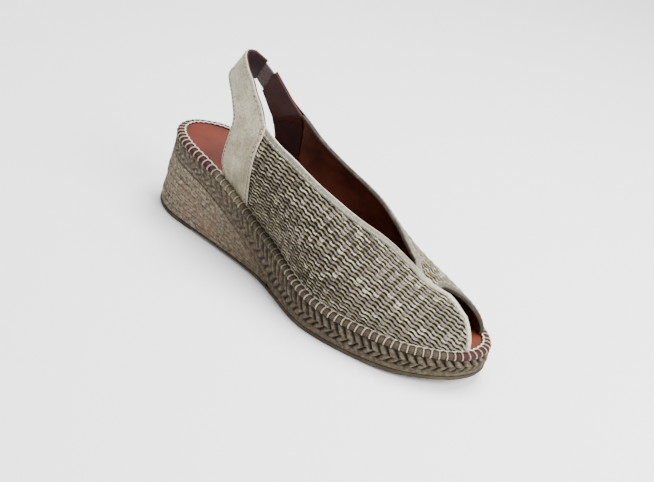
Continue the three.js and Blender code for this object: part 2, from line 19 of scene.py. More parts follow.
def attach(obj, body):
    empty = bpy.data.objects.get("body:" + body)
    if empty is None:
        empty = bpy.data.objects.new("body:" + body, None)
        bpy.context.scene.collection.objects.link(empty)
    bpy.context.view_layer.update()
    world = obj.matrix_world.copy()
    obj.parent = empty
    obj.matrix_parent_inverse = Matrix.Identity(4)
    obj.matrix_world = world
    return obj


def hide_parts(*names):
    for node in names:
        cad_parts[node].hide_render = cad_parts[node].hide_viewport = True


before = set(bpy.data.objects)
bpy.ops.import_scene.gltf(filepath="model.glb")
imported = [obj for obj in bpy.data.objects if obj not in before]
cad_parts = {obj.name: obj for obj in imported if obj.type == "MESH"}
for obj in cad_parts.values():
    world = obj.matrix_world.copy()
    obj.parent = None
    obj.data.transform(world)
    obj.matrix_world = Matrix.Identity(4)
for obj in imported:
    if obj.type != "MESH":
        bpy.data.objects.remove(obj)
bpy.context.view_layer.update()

LOG = logging.getLogger("espadrille")
MM = .001
TAU = 2 * math.pi
STITCH_STEP = 3.0
Array = np.ndarray
Material = bpy.types.Material
Place = tuple[float, float, float]


# Small numeric helpers


def lerp(low: Array, high: Array, share: Array) -> Array:
    """Straight blend: low + (high - low) * share."""
    return low + (high - low) * share


def smoothstep(value: Array, low: float, high: float) -> Array:
    """Soft step: 3t^2 - 2t^3 with t the clipped share of the way from low to high."""
    t = np.clip((value - low) / (high - low), 0.0, 1.0)
    return t * t * (3 - 2 * t)


def dome(share: Array) -> Array:
    """Half circle over a span: sqrt(1 - (2 share - 1)^2), nothing at both ends and 1 in the middle."""
    return np.sqrt(np.clip(1 - (2 * share - 1) ** 2, 0.0, 1.0))


def fract(value: Array) -> Array:
    """Part of a number after its floor."""
    return value - np.floor(value)


def hashed(first: Array, second: Array, seed: float = 0.0) -> Array:
    """Repeatable random number from 0 to 1 for a pair of whole numbers: fract(sin(dot) * 43758.5)."""
    return fract(np.sin(first * 12.9898 + second * 78.233 + seed * 37.719) * 43758.5453)


def unit(vectors: Array) -> Array:
    """Vectors divided by their own length along the last axis."""
    return vectors / np.maximum(np.linalg.norm(vectors, axis=-1, keepdims=True), 1e-9)


def arc_lengths(line: Array) -> Array:
    """Running length along a line of points, n by 3 or n by 2."""
    return np.concatenate([[0.0], np.cumsum(np.linalg.norm(np.diff(line, axis=0), axis=1))])


def read_line(at: Array, run: Array, line: Array) -> Array:
    """Points of a line at places along its running length."""
    return np.stack([np.interp(at, run, line[:, k]) for k in range(line.shape[1])], axis=-1)


def pairs(first: Array, second: Array) -> Array:
    """Rows of two values, from two arrays that spread to one shape."""
    return np.stack(np.broadcast_arrays(first, second), axis=-1).reshape(-1, 2)


def sewn(run: Array, half: float) -> tuple[Array, Array]:
    """Places along a line for a row of stitches.

    Args:
        run: Running length of the line's points.
        half: Half the length of a stitch.

    Returns:
        Places, stitches by 5, and the way along a stitch from -1 to 1.
    """
    count = int(run[-1] / STITCH_STEP)
    centre = (np.arange(count) + .5) / count * run[-1]
    way = np.linspace(-1, 1, 5)
    return centre[:, None] + way[None, :] * half, way


class Curve:
    """A smooth curve through a table's column that never overshoots between two rows.

    A row's slope is the harmonic mean of the slopes beside it, or nothing where they differ in sign, and
    each span is the cubic with those slopes.
    """

    def __init__(self, at: tuple[float, ...], values: tuple[float, ...]) -> None:
        """Works out the slopes.

        Args:
            at: Where each row lies, rising.
            values: The column's value in each row.
        """
        self.at = np.asarray(at, float)
        self.values = np.asarray(values, float)
        slope = np.diff(self.values) / np.diff(self.at)
        before = np.concatenate([slope[:1], slope])
        after = np.concatenate([slope, slope[-1:]])
        total = np.where(before * after > 0, before + after, 1.0)
        self.tangent = np.where(before * after > 0, 2 * before * after / total, 0.0)

    def __call__(self, where: Array) -> Array:
        """Values of the curve at places, level beyond its ends.

        Args:
            where: Places along the curve.

        Returns:
            The values.
        """
        where = np.asarray(where, float)
        i = np.clip(np.searchsorted(self.at, where, side="right") - 1, 0, len(self.at) - 2)
        span = self.at[i + 1] - self.at[i]
        t = np.clip((where - self.at[i]) / span, 0.0, 1.0)
        rise = t * t * (3 - 2 * t)
        leave = t * (1 - t) ** 2 * span * self.tangent[i]
        arrive = t * t * (t - 1) * span * self.tangent[i + 1]
        return lerp(self.values[i], self.values[i + 1], rise) + leave + arrive


# Meshes


def linked(name: str, data: bpy.types.ID) -> bpy.types.Object:
    """A new object of the scene that shows the data.

    Args:
        name: Name of the object.
        data: Its mesh, lamp or camera.

    Returns:
        The object.
    """
    thing = bpy.data.objects.new(name, data)
    bpy.context.scene.collection.objects.link(thing)
    return thing


class Shell:
    """Closed bodies that are gathered as arrays and put into one mesh."""

    def __init__(self) -> None:
        """Starts with no points."""
        self.points: list[Array] = []
        self.faces: list[Array] = []
        self.uvs: list[Array] = []
        self.marks: dict[str, list[Array]] = {}
        self.count = 0

    def add(self, points: Array, faces: list[Array], uv: Array | None = None, **marks: Array) -> "Shell":
        """Adds one closed body and turns its faces outwards by the sign of its volume.

        Args:
            points: Corners in millimetres, n by 3.
            faces: Arrays of triangles or quads of corner numbers.
            uv: Position of each corner on the piece's own pattern, n by 2.
            marks: Named values, one for each corner.

        Returns:
            This shell, so that calls can follow on one another.
        """
        triangles = np.concatenate([f[:, :3] for f in faces] + [f[:, [0, 2, 3]] for f in faces if f.shape[1] == 4])
        a, b, c = (points[triangles[:, k]] for k in range(3))
        turned = np.einsum("ij,ij->i", a, np.cross(b, c)).sum() < 0
        self.points.append(points)
        self.uvs.append(np.zeros((len(points), 2)) if uv is None else uv)
        for name, values in marks.items():
            self.marks.setdefault(name, []).append(values)
        for block in faces:
            self.faces.append((block[:, ::-1] if turned else block) + self.count)
        self.count += len(points)
        return self

    def build(self, name: str, material: Material, slot: str, *nodes: str) -> bpy.types.Object:
        """Makes the piece, in metres, rides it on the shoe and names what it stands for.

        Args:
            name: Name of the piece.
            material: Its finish.
            slot: Material slot of the record that it takes its finish from.
            nodes: Solids that it stands for.

        Returns:
            The new object.
        """
        points = np.concatenate(self.points) * MM
        faces = [row for block in self.faces for row in block.tolist()]
        mesh = bpy.data.meshes.new(name)
        mesh.from_pydata(points.tolist(), [], faces)
        corners = np.empty(len(mesh.loops), np.int32)
        mesh.loops.foreach_get("vertex_index", corners)
        uv = np.concatenate(self.uvs)[corners].astype(np.float32)
        mesh.uv_layers.new(name="pattern").data.foreach_set("uv", uv.ravel())
        for key, blocks in self.marks.items():
            values = np.concatenate(blocks).astype(np.float32)
            mesh.attributes.new(key, "FLOAT", "POINT").data.foreach_set("value", values)
        mesh.polygons.foreach_set("use_smooth", np.ones(len(mesh.polygons), bool))
        mesh.materials.append(material)
        piece = linked(name, mesh)
        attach(piece, "root")
        if nodes:
            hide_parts(*nodes)
        LOG.info("%s: %d faces", name, len(mesh.polygons))
        return piece


def grid_faces(rows: int, columns: int, wrap_rows: bool = False, wrap_columns: bool = False) -> Array:
    """Quads of a grid whose corner (i, j) has the number i * columns + j.

    Args:
        rows: Rows of corners.
        columns: Corners in a row.
        wrap_rows: True if the last row joins the first.
        wrap_columns: True if each row closes on itself.

    Returns:
        Quads, n by 4.
    """
    i = np.arange(rows if wrap_rows else rows - 1)[:, None]
    j = np.arange(columns if wrap_columns else columns - 1)[None, :]
    up, right = (i + 1) % rows, (j + 1) % columns
    quads = [i * columns + j, up * columns + j, up * columns + right, i * columns + right]
    return np.stack([np.broadcast_to(q, (i.size, j.size)).ravel() for q in quads], axis=1)


def ring_cap(first: int, count: int) -> list[Array]:
    """Quads that close a ring of an even count of corners from side to side, and a triangle at each end.

    Args:
        first: Number of the ring's first corner.
        count: Corners of the ring.

    Returns:
        Blocks of faces.
    """
    i = np.arange(1, count // 2 - 1)
    quads = np.stack([i, i + 1, count - i - 1, count - i], axis=1) + first
    half = count // 2
    ends = np.array([[0, 1, count - 1], [half - 1, half, half + 1]]) + first
    return [quads, ends]


def zipped(fine: Array, coarse: Array) -> Array:
    """Triangles between a fine line of corners and a coarse one that share their two ends' places.

    Args:
        fine: Corner numbers, ratio * n + 1 of them.
        coarse: Corner numbers, n + 1 of them.

    Returns:
        Triangles, n by 3.
    """
    ratio = (len(fine) - 1) // (len(coarse) - 1)
    k = np.arange(len(fine) - 1)
    fans = np.stack([fine[k], fine[k + 1], coarse[(k + ratio // 2) // ratio]], axis=1)
    c = np.arange(len(coarse) - 1)
    middle = fine[c * ratio + (ratio + 1) // 2]
    return np.concatenate([fans, np.stack([coarse[c], middle, coarse[c + 1]], axis=1)])


def tubes(paths: Array, normals: Array, radius: float, sides: int) -> tuple[Array, list[Array]]:
    """Closed tubes along many paths at once, all with as many steps.

    A ring of each tube is path + radius * (cos(turn) * normal + sin(turn) * side), and the side is the
    cross product of the path's direction and its normal.

    Args:
        paths: Points in millimetres, count by steps by 3.
        normals: A direction across the path at each point, of the same shape.
        radius: Radius of the tube.
        sides: Corners of its section.

    Returns:
        Corners and blocks of faces.
    """
    count, steps, _ = paths.shape
    along = unit(np.gradient(paths, axis=1))
    side = unit(np.cross(along, normals))
    lift = np.cross(side, along)
    turn = np.arange(sides) * TAU / sides
    ring = np.cos(turn)[:, None] * lift[:, :, None, :] + np.sin(turn)[:, None] * side[:, :, None, :]
    rings = paths[:, :, None, :] + radius * ring
    corners = np.concatenate([rings.reshape(count, -1, 3), paths[:, :1], paths[:, -1:]], axis=1)
    each = steps * sides + 2
    wall = grid_faces(steps, sides, wrap_columns=True)
    j = np.arange(sides)
    last = (steps - 1) * sides
    ends = np.concatenate([
        np.stack([np.full(sides, steps * sides), j, (j + 1) % sides], axis=1),
        np.stack([np.full(sides, steps * sides + 1), last + (j + 1) % sides, last + j], axis=1)])
    shift = (np.arange(count) * each)[:, None, None]
    return corners.reshape(-1, 3), [(wall[None] + shift).reshape(-1, 4), (ends[None] + shift).reshape(-1, 3)]


# Shader expressions


def operation(kind: str, meaning: str, swapped: bool = False) -> Callable[..., "Wire"]:
    """A method of Wire that adds one Math node.

    Args:
        kind: Operation of the node.
        meaning: Docstring of the method.
        swapped: True if the other value comes first.

    Returns:
        The method.
    """
    def method(self: "Wire", *others: object) -> "Wire":
        """Adds the node."""
        values = (*others, self) if swapped else (self, *others)
        return self.sheet.wire(self.sheet.node("Math", {"operation": kind}, dict(enumerate(values))))

    method.__doc__ = meaning
    return method


class Wire:
    """A socket that takes part in Python expressions and adds Math nodes as it goes."""

    def __init__(self, sheet: "NodeSheet", socket: bpy.types.NodeSocket) -> None:
        """Keeps the socket and the sheet it is on."""
        self.sheet = sheet
        self.socket = socket

    __add__ = operation("ADD", "Sum.")
    __radd__ = operation("ADD", "Sum, with this on the right.", True)
    __sub__ = operation("SUBTRACT", "Difference.")
    __rsub__ = operation("SUBTRACT", "Difference, with this on the right.", True)
    __mul__ = operation("MULTIPLY", "Product.")
    __rmul__ = operation("MULTIPLY", "Product, with this on the right.", True)
    __truediv__ = operation("DIVIDE", "Quotient.")
    sin = operation("SINE", "Sine.")
    floor = operation("FLOOR", "Whole part.")
    absolute = operation("ABSOLUTE", "Size without sign.")
    power = operation("POWER", "This to a power.")
    higher = operation("MAXIMUM", "The larger of the two.")

    def step(self, low: float, high: float) -> "Wire":
        """Soft step from 0 at low to 1 at high."""
        inputs = {"Value": self, "From Min": low, "From Max": high}
        return self.sheet.wire(self.sheet.node("MapRange", {"interpolation_type": "SMOOTHSTEP"}, inputs))


class NodeSheet:
    """The node tree of one material, with one principled shader."""

    def __init__(self, name: str) -> None:
        """Makes the material of that name and its shader.

        Args:
            name: Name of the material.
        """
        self.material = bpy.data.materials.new(name)
        self.material.use_nodes = True
        self.tree = self.material.node_tree
        self.tree.nodes.clear()
        self.shader = self.tree.nodes.new("ShaderNodeBsdfPrincipled")
        output = self.tree.nodes.new("ShaderNodeOutputMaterial")
        self.tree.links.new(self.shader.outputs[0], output.inputs["Surface"])

    def node(self, kind: str, settings: dict | None = None, inputs: dict | None = None) -> bpy.types.Node:
        """Adds a node, sets it and fills its sockets.

        Args:
            kind: Type of node, without the words that all of them start with.
            settings: Properties that are set first, with a ramp's stops under "stops".
            inputs: Values or wires by socket name or number.

        Returns:
            The node.
        """
        node = self.tree.nodes.new("ShaderNode" + kind)
        for key, value in (settings or {}).items():
            if key == "stops":
                ramp = node.color_ramp.elements
                while len(ramp) < len(value):
                    ramp.new(.5)
                for stop, (place, colour) in zip(ramp, value):
                    stop.position, stop.color = place, colour
            else:
                setattr(node, key, value)
        for key, value in (inputs or {}).items():
            self.feed(node.inputs[key], value)
        return node

    def feed(self, socket: bpy.types.NodeSocket, value: object) -> None:
        """Links a wire to a socket, or sets the socket's own value.

        Args:
            socket: Input of a node.
            value: Wire or value for it.
        """
        if isinstance(value, Wire):
            self.tree.links.new(value.socket, socket)
        elif isinstance(value, bpy.types.NodeSocket):
            self.tree.links.new(value, socket)
        else:
            socket.default_value = value

    def wire(self, node: bpy.types.Node, output: str | int = 0) -> Wire:
        """One output of a node as a wire."""
        return Wire(self, node.outputs[output])

    def split(self, vector: Wire) -> list[Wire]:
        """The three parts of a vector."""
        node = self.node("SeparateXYZ", None, {0: vector})
        return [self.wire(node, k) for k in range(3)]

    @cached_property
    def pattern(self) -> list[Wire]:
        """The two coordinates of the piece's own pattern, in millimetres."""
        return self.split(self.wire(self.node("UVMap", {"uv_map": "pattern"})))[:2]

    @cached_property
    def where(self) -> Wire:
        """Object coordinates in millimetres."""
        source = self.node("TexCoord").outputs["Object"]
        return self.wire(self.node("VectorMath", {"operation": "SCALE"}, {0: source, "Scale": 1 / MM}))

    @cached_property
    def place(self) -> list[Wire]:
        """The three parts of the object coordinates."""
        return self.split(self.where)

    def vector(self, x: object, y: object, z: object = 0.0) -> Wire:
        """Three values as one vector."""
        return self.wire(self.node("CombineXYZ", None, {0: x, 1: y, 2: z}))

    def mark(self, name: str) -> Wire:
        """A named value that the mesh carries for each corner."""
        return self.wire(self.node("Attribute", {"attribute_name": name}), "Fac")

    def noise(self, where: Wire, scale: float, detail: float = 3.0, rough: float = .5) -> Wire:
        """Soft noise, from about 0.3 to 0.7."""
        inputs = {"Vector": where, "Scale": scale, "Detail": detail, "Roughness": rough}
        return self.wire(self.node("TexNoise", None, inputs), "Fac")

    def chance(self, first: Wire, second: Wire) -> Wire:
        """A random value from 0 to 1 for each pair of whole numbers."""
        place = self.vector(first + .5, second + .5)
        return self.wire(self.node("TexWhiteNoise", {"noise_dimensions": "2D"}, {"Vector": place}), "Value")

    def ramp(self, where: Wire, *stops: tuple[float, tuple]) -> Wire:
        """A colour ramp read at a value."""
        return self.wire(self.node("ValToRGB", {"stops": stops}, {0: where}))

    def mix(self, share: object, first: object, second: object) -> Wire:
        """Two colours mixed by a share."""
        return self.wire(self.node("Mix", {"data_type": "RGBA"}, {0: share, 6: first, 7: second}), 2)

    def coats(self, base: object, *coats: tuple[object, object]) -> Wire:
        """A base colour with pairs of a share and a colour laid over it in turn.

        Args:
            base: The first colour.
            coats: Pairs of a share and a colour.

        Returns:
            The colour that results.
        """
        for share, colour in coats:
            base = self.mix(share, base, colour)
        return base

    def bump(self, height: Wire, depth: float, strength: float) -> None:
        """Feeds the shader's normal with a height from 0 to 1, for a relief of a depth in millimetres."""
        inputs = {"Height": height, "Distance": depth * MM, "Strength": strength}
        self.feed(self.shader.inputs["Normal"], self.wire(self.node("Bump", None, inputs)))

    def finish(self, colour: object, roughness: object, shine: float = .5) -> Material:
        """Feeds the shader and returns the material.

        Args:
            colour: Base colour.
            roughness: Roughness.
            shine: Strength of the reflection at the surface, 0.5 for plain plastic.

        Returns:
            The finished material.
        """
        for name, value in (("Base Color", colour), ("Roughness", roughness), ("Specular IOR Level", shine)):
            self.feed(self.shader.inputs[name], value)
        return self.material


def paint(red: float, green: float, blue: float) -> tuple:
    """A display colour from 0 to 255 as linear light: ((c + 0.055) / 1.055)^2.4.

    Args:
        red: Red, to 255.
        green: Green, to 255.
        blue: Blue, to 255.

    Returns:
        The colour, opaque.
    """
    channels = [c / 255 for c in (red, green, blue)]
    linear = [c / 12.92 if c <= .04045 else ((c + .055) / 1.055) ** 2.4 for c in channels]
    return (*linear, 1.0)


# Forms: the sole's plan and heights, and the last


@dataclass(frozen=True)
class Ring:
    """Points round the sole's outline at even steps, from the heel's back along the outer side."""

    plan: Array
    inward: Array
    run: Array
    length: float


@dataclass(frozen=True)
class Footbed:
    """Plan and heights of the sole, in millimetres."""

    length: float = 253.0
    heel_seat: float = 25.0
    heel_half: float = 25.0
    outer_waist_half: float = 29.9
    inner_waist_half: float = 27.6
    outer_ball_half: float = 46.6
    inner_ball_half: float = 41.4
    outer_toe_half: float = 39.5
    inner_toe_half: float = 36.0
    toe_swing: float = 1.8
    heel_round: float = 33.0
    toe_round: float = 54.5
    toe_squareness: float = 2.4
    heel_height: float = 54.4
    platform_height: float = 19.8
    toe_height: float = 23.7
    toe_spring: float = 7.2
    outsole_thickness: float = 2.6
    heel_pad_length: float = 46.0
    heel_pad_step: float = 1.2
    back_flare: float = 6.3
    side_flare: float = 1.6
    rim_width: float = 4.5
    rim_drop: float = 2.3
    gap: float = .3
    arch_end: float = .5
    spring_start: float = .7

    @cached_property
    def halves(self) -> tuple[Curve, Curve]:
        """Half widths of the outer and of the inner side along the length.

        Returns:
            The two curves.
        """
        sides = ((.93, 1, self.outer_waist_half, self.outer_ball_half, self.outer_toe_half),
                 (.9, .96, self.inner_waist_half, self.inner_ball_half, self.inner_toe_half))
        return tuple(Curve((0, .12, .4, .64, .84, 1), (
            self.heel_half * back, self.heel_half * seat, waist, ball, toe, toe * .72))
            for back, seat, waist, ball, toe in sides)

    @cached_property
    def centre_side(self) -> Curve:
        """Swing of the centre line."""
        return Curve((0, .45, 1), (0, 0, self.toe_swing))

    @cached_property
    def lifts(self) -> tuple[Curve, Curve]:
        """Shares of the heel's and of the toe's lift that the rim has along the length."""
        at = (-.05, .06, .22, .42, .6, .72, .88, 1.05)
        return Curve(at, (1, 1, .807, .297, .071, 0, 0, 0)), Curve(at, (0, 0, 0, 0, 0, 0, .25, 1))

    @cached_property
    def underside(self) -> Curve:
        """Underside of the platform on the wedge, as a share of the heel height."""
        return Curve((0, .06, .17, .25, .33, .41, .48, .56), (.745, .742, .665, .55, .39, .215, .05, -.1))

    def station(self, share: Array) -> Array:
        """Place along X of a share of the length."""
        return share * self.length - self.heel_seat

    def share_of(self, x: Array) -> Array:
        """Share of the length at a place along X."""
        return (x + self.heel_seat) / self.length

    def half(self, share: Array, y: Array) -> Array:
        """Half width on the side that y is on, the outer side below nothing."""
        outer, inner = self.halves
        return np.where(y < 0, outer(share), inner(share))

    def rim_z(self, x: Array) -> Array:
        """Height of the rim: the platform's, with its share of the heel's and the toe's lift.

        Args:
            x: Places along the length.

        Returns:
            The heights.
        """
        heel, toe = (lift(self.share_of(x)) for lift in self.lifts)
        base = self.platform_height
        return base + heel * (self.heel_height - base) + toe * (self.toe_height - base)

    def spring_z(self, x: Array) -> Array:
        """Lift of the underside: the toe spring times the square of the way from its start."""
        way = (self.share_of(x) - self.spring_start) / (1 - self.spring_start)
        return self.toe_spring * np.clip(way, 0, 1.1) ** 2

    def ground_z(self, x: Array) -> Array:
        """Underside of the rubber: flat, with a step up behind the heel pad that fades to the ball.

        Args:
            x: Places along the length.

        Returns:
            The heights.
        """
        pad_end = self.heel_pad_length - self.heel_seat
        fade = (self.arch_end - self.share_of(x)) / (self.arch_end - self.share_of(pad_end))
        step = self.heel_pad_step * smoothstep(x, pad_end - .4, pad_end + .4)
        return self.spring_z(x) + step * np.clip(2 * fade, 0, 1)

    def tread_top_z(self, x: Array) -> Array:
        """Upper face of the rubber."""
        return self.spring_z(x) + self.outsole_thickness

    def platform_bottom_z(self, x: Array) -> Array:
        """Underside of the platform, on the wedge and past it on the rubber."""
        return np.maximum(self.underside(self.share_of(x)) * self.heel_height, self.tread_top_z(x) + self.gap)

    def side(self, share: Array, sign: float) -> Array:
        """Plan of one side: half width times a circle's cap at the heel and a squarer one at the toe.

        Args:
            share: Way along the side.
            sign: -1 for the outer side, 1 for the inner.

        Returns:
            Points in the plan.
        """
        heel = np.clip(share * self.length / self.heel_round, 0, 1)
        toe = np.clip((1 - share) * self.length / self.toe_round, 0, 1)
        cap = np.sqrt(1 - (1 - heel) ** 2) * (1 - (1 - toe) ** self.toe_squareness) ** (1 / self.toe_squareness)
        across = self.centre_side(share) + sign * self.half(share, sign) * cap
        return np.stack([self.station(share), across], axis=-1)

    @cached_property
    def outline(self) -> tuple[Array, Array]:
        """Fine outline, counter-clockwise from the heel's back, and the inward direction at each point.

        Returns:
            The points and the directions.
        """
        share = (1 - np.cos(np.linspace(0, np.pi, 721))) / 2
        loop = np.concatenate([self.side(share, -1), self.side(share, 1)[::-1][1:-1]])
        along = unit(np.roll(loop, -1, 0) - np.roll(loop, 1, 0))
        return loop, np.stack([-along[:, 1], along[:, 0]], axis=1)

    def ring(self, count: int, front: float = 1.0) -> Ring:
        """Points at even steps round the outline, or round its part behind a share of the length.

        Args:
            count: How many points.
            front: Share of the length where the ring is cut off straight across.

        Returns:
            The ring.
        """
        loop, inward = self.outline
        line = np.concatenate([loop, loop[:1]])
        dirs = np.concatenate([inward, inward[:1]])
        if front < 1:
            keep = self.share_of(line[:, 0]) <= front
            start = int(np.argmin(keep))
            stop = len(keep) - int(np.argmin(keep[::-1]))
            line = np.concatenate([line[stop:-1], line[:start]])
            dirs = np.concatenate([dirs[stop:-1], dirs[:start]])
        run = arc_lengths(line)
        closed = front >= 1
        at = np.linspace(0, run[-1], count, endpoint=not closed)
        return Ring(read_line(at, run, line), unit(read_line(at, run, dirs)), at, float(run[-1]))

    def placed(self, ring: Ring, inset: Array, z: Array) -> Array:
        """Points on the sole's side: the ring moved inwards and widened towards the floor.

        The widening is a share of the drop below the rim, and fades out from the heel to the arch.

        Args:
            ring: Ring of n points.
            inset: Distance inside the outline, n or m by n.
            z: Height, of the same shape.

        Returns:
            Points, with a last axis of 3.
        """
        plan = ring.plan + ring.inward * np.asarray(inset)[..., None]
        x, y = plan[..., 0], plan[..., 1]
        fade = np.clip(1 - self.share_of(x) / self.arch_end, 0, 1)
        drop = np.clip(1 - z / self.rim_z(x), 0, 1)
        wide = 1 + fade * drop * self.side_flare / self.heel_half
        return np.stack([x - self.back_flare * fade * drop, y * wide, np.broadcast_to(z, x.shape)], axis=-1)


@dataclass(frozen=True)
class Last:
    """The form under the upper, from two foot lines up to a ridge.

    A point is named by its way round a foot line, from the heel's back to the toe tip, and by v, which
    runs from 0 on the outer foot line over 1 on the ridge to 2 on the inner foot line.
    """

    bed: Footbed = field(default_factory=Footbed)
    quarter_rise: float = 52.5
    throat_half: float = 19.0
    quarter_bulge: float = 2.5
    belly_share: float = .35
    foot_inset: float = 4.8

    @cached_property
    def columns(self) -> dict[str, Curve]:
        """Curves of the last's sections by the way round.

        Returns:
            The curves by name.
        """
        at = (.25, .32, .38, .47, .56, .65, .7, .75, .85, 1)
        table = {
            "lead": (.01, .008, .004, 0, 0, -.004, -.01, -.02, -.05, -.108),
            "side": (0, 0, 0, -.05, -.05, .05, .12, .18, .2, .2),
            "up": (1.23, 1.22, 1.15, 1.06, .98, .84, .735, .63, .505, .45),
            "belly": (.46, .46, .46, .42, .34, .24, .2, .16, .11, .09),
            "fullness": (1, 1, 1, .8, .5, .3, .25, .2, .15, .1),
            "outer_arch": (2.1, 2.1, 2.1, 2.05, 1.98, 1.95, 1.95, 1.98, 1.93, 1.85),
            "inner_arch": (2.1, 2.1, 2.1, 2, 1.82, 1.5, 1.45, 1.5, 1.6, 1.6),
        }
        return {name: Curve(at, values) for name, values in table.items()}

    @cached_property
    def foot_lines(self) -> tuple[tuple[Array, Array], tuple[Array, Array]]:
        """Outer and inner foot line, each with its running length, inside the two halves of the outline.

        Returns:
            Each line's points and running length.
        """
        loop, inward = self.bed.outline
        line = loop + inward * self.foot_inset
        tip = len(line) // 2
        sides = line[:tip + 1], np.concatenate([line[:1], line[tip:][::-1]])
        return tuple((side, arc_lengths(side)) for side in sides)

    def foot(self, around: Array, inner: bool) -> Array:
        """Point of a foot line in plan."""
        line, run = self.foot_lines[inner]
        return read_line(around, run / run[-1], line)

    def around_at(self, from_back: float, inner: bool) -> float:
        """Way round at which a foot line passes a distance from the heel's back."""
        line, run = self.foot_lines[inner]
        return float(run[np.argmax(line[:, 0] >= from_back - self.bed.heel_seat)] / run[-1])

    def point(self, around: Array, v: Array) -> Array:
        """Points of the last.

        Below the belly the wall leans outwards by a quarter sine of the bulge. Above it a quarter of a
        superellipse, with the side's own power, leads to the ridge.

        Args:
            around: Way round the foot line.
            v: Way across.

        Returns:
            Points in millimetres.
        """
        around, v = np.broadcast_arrays(np.asarray(around, float), np.asarray(v, float))
        c = {name: curve(around) for name, curve in self.columns.items()}
        inner = v > 1
        t = np.where(inner, 2 - v, v)
        outer_foot, inner_foot = self.foot(around, False), self.foot(around, True)
        foot = np.where(inner[..., None], inner_foot, outer_foot)
        ridge_x = (outer_foot[..., 0] + inner_foot[..., 0]) / 2 + self.bed.length * c["lead"]
        ridge = np.stack([ridge_x, self.throat_half * c["side"]], axis=-1)
        inward = unit(ridge - foot)
        ridge_z = self.bed.rim_z(ridge_x) + self.quarter_rise * c["up"]
        foot_z = self.bed.rim_z(foot[..., 0]) + self.bed.gap
        belly_z = lerp(foot_z, ridge_z, c["belly"])
        bulge = self.quarter_bulge * c["fullness"]
        low = t < self.belly_share
        s = np.clip(t / self.belly_share, 0, 1)
        turn = np.clip((t - self.belly_share) / (1 - self.belly_share), 0, 1) * np.pi / 2
        power = 2 / np.where(inner, c["inner_arch"], c["outer_arch"])
        across = 1 - np.clip(np.cos(turn), 0, 1) ** power
        up = np.clip(np.sin(turn), 0, 1) ** power
        out = np.where(low, bulge * np.sin(s * np.pi / 2), bulge)
        plan = foot - inward * out[..., None]
        plan = np.where(low[..., None], plan, lerp(plan, ridge, across[..., None]))
        z = np.where(low, lerp(foot_z, belly_z, s), lerp(belly_z, ridge_z, up))
        return np.concatenate([plan, z[..., None]], axis=-1)

    def frame_at(self, around: Array, v: Array) -> tuple[Array, Array, Array]:
        """Normal of the last and its two surface derivatives, by the way round and by v.

        Args:
            around: Way round the foot line.
            v: Way across.

        Returns:
            Outward normals and the two derivatives.
        """
        step = .004
        ahead = np.minimum(around + step, 1 - step / 4)
        high, low = np.minimum(v + step, 2), np.maximum(v - step, 0)
        by_around = (self.point(ahead, v) - self.point(around - step, v)) / (ahead - around + step)[..., None]
        by_v = (self.point(around, high) - self.point(around, low)) / (high - low)[..., None]
        return unit(np.cross(by_around, by_v)), by_around, by_v


def refined(grid: Array, times: int) -> Array:
    """A grid of values with its spans cut into straight steps, so many times along rows and columns.

    Args:
        grid: Rows by columns by values.
        times: Steps in a span.

    Returns:
        The finer grid.
    """
    for _ in range(2):
        place = np.arange((grid.shape[0] - 1) * times + 1) / times
        i = np.minimum(place.astype(int), grid.shape[0] - 2)
        grid = lerp(grid[i], grid[i + 1], (place - i)[:, None, None]).swapaxes(0, 1)
    return grid


def flattened(grid: Array, rounds: int = 400) -> Array:
    """Lays a curved grid flat as stiffly as it goes, so that straight rows of cloth can be drawn on it.

    Corners are complex numbers. In turn, each triangle's flat shape is turned to fit the corners,
    r = sum(d * conj(e)) over its edges, and the corners are solved to fit the turned shapes best,
    L U = sum(r * e), from the grid's mean steps.

    Args:
        grid: Points in millimetres, rows by columns by 3.
        rounds: How often both steps are made.

    Returns:
        Flat points, rows by columns by 2, with the chord of the last column along +X.
    """
    rows, columns = grid.shape[:2]
    points = grid.reshape(-1, 3)
    quads = grid_faces(rows, columns)
    corners = np.concatenate([quads[:, :3], quads[:, [0, 2, 3]]])
    first, second, third = (points[corners[:, k]] for k in range(3))
    along = unit(second - first)
    across = np.cross(unit(np.cross(second - first, third - first)), along)
    q1 = np.linalg.norm(second - first, axis=1).astype(complex)
    q2 = np.einsum("ij,ij->i", third - first, along) + 1j * np.einsum("ij,ij->i", third - first, across)
    edges = np.stack([q1, q2 - q1, -q2], axis=1)
    here, there = corners, np.roll(corners, -1, axis=1)
    laplace = np.zeros((len(points), len(points)))
    for i, j, value in ((here, here, 1.0), (there, there, 1.0), (here, there, -1.0), (there, here, -1.0)):
        np.add.at(laplace, (i.ravel(), j.ravel()), value)
    laplace[0, 0] += 1.0
    inverse = np.linalg.inv(laplace)
    steps = [np.linalg.norm(np.diff(grid, axis=k), axis=2).mean() for k in (0, 1)]
    flat = (np.arange(rows)[:, None] * steps[0] + 1j * np.arange(columns)[None, :] * steps[1]).ravel()
    for _ in range(rounds):
        turn = ((flat[there] - flat[here]) * edges.conj()).sum(axis=1)
        flow = edges * (turn / np.abs(turn))[:, None]
        pull = np.zeros(len(points), complex)
        np.add.at(pull, there, flow)
        np.subtract.at(pull, here, flow)
        flat = inverse @ pull
    flat = flat - flat[columns - 1]
    flat = flat * (flat[-1] / abs(flat[-1])).conjugate()
    return np.stack([flat.real, flat.imag], axis=-1).reshape(rows, columns, 2)


# Finishes


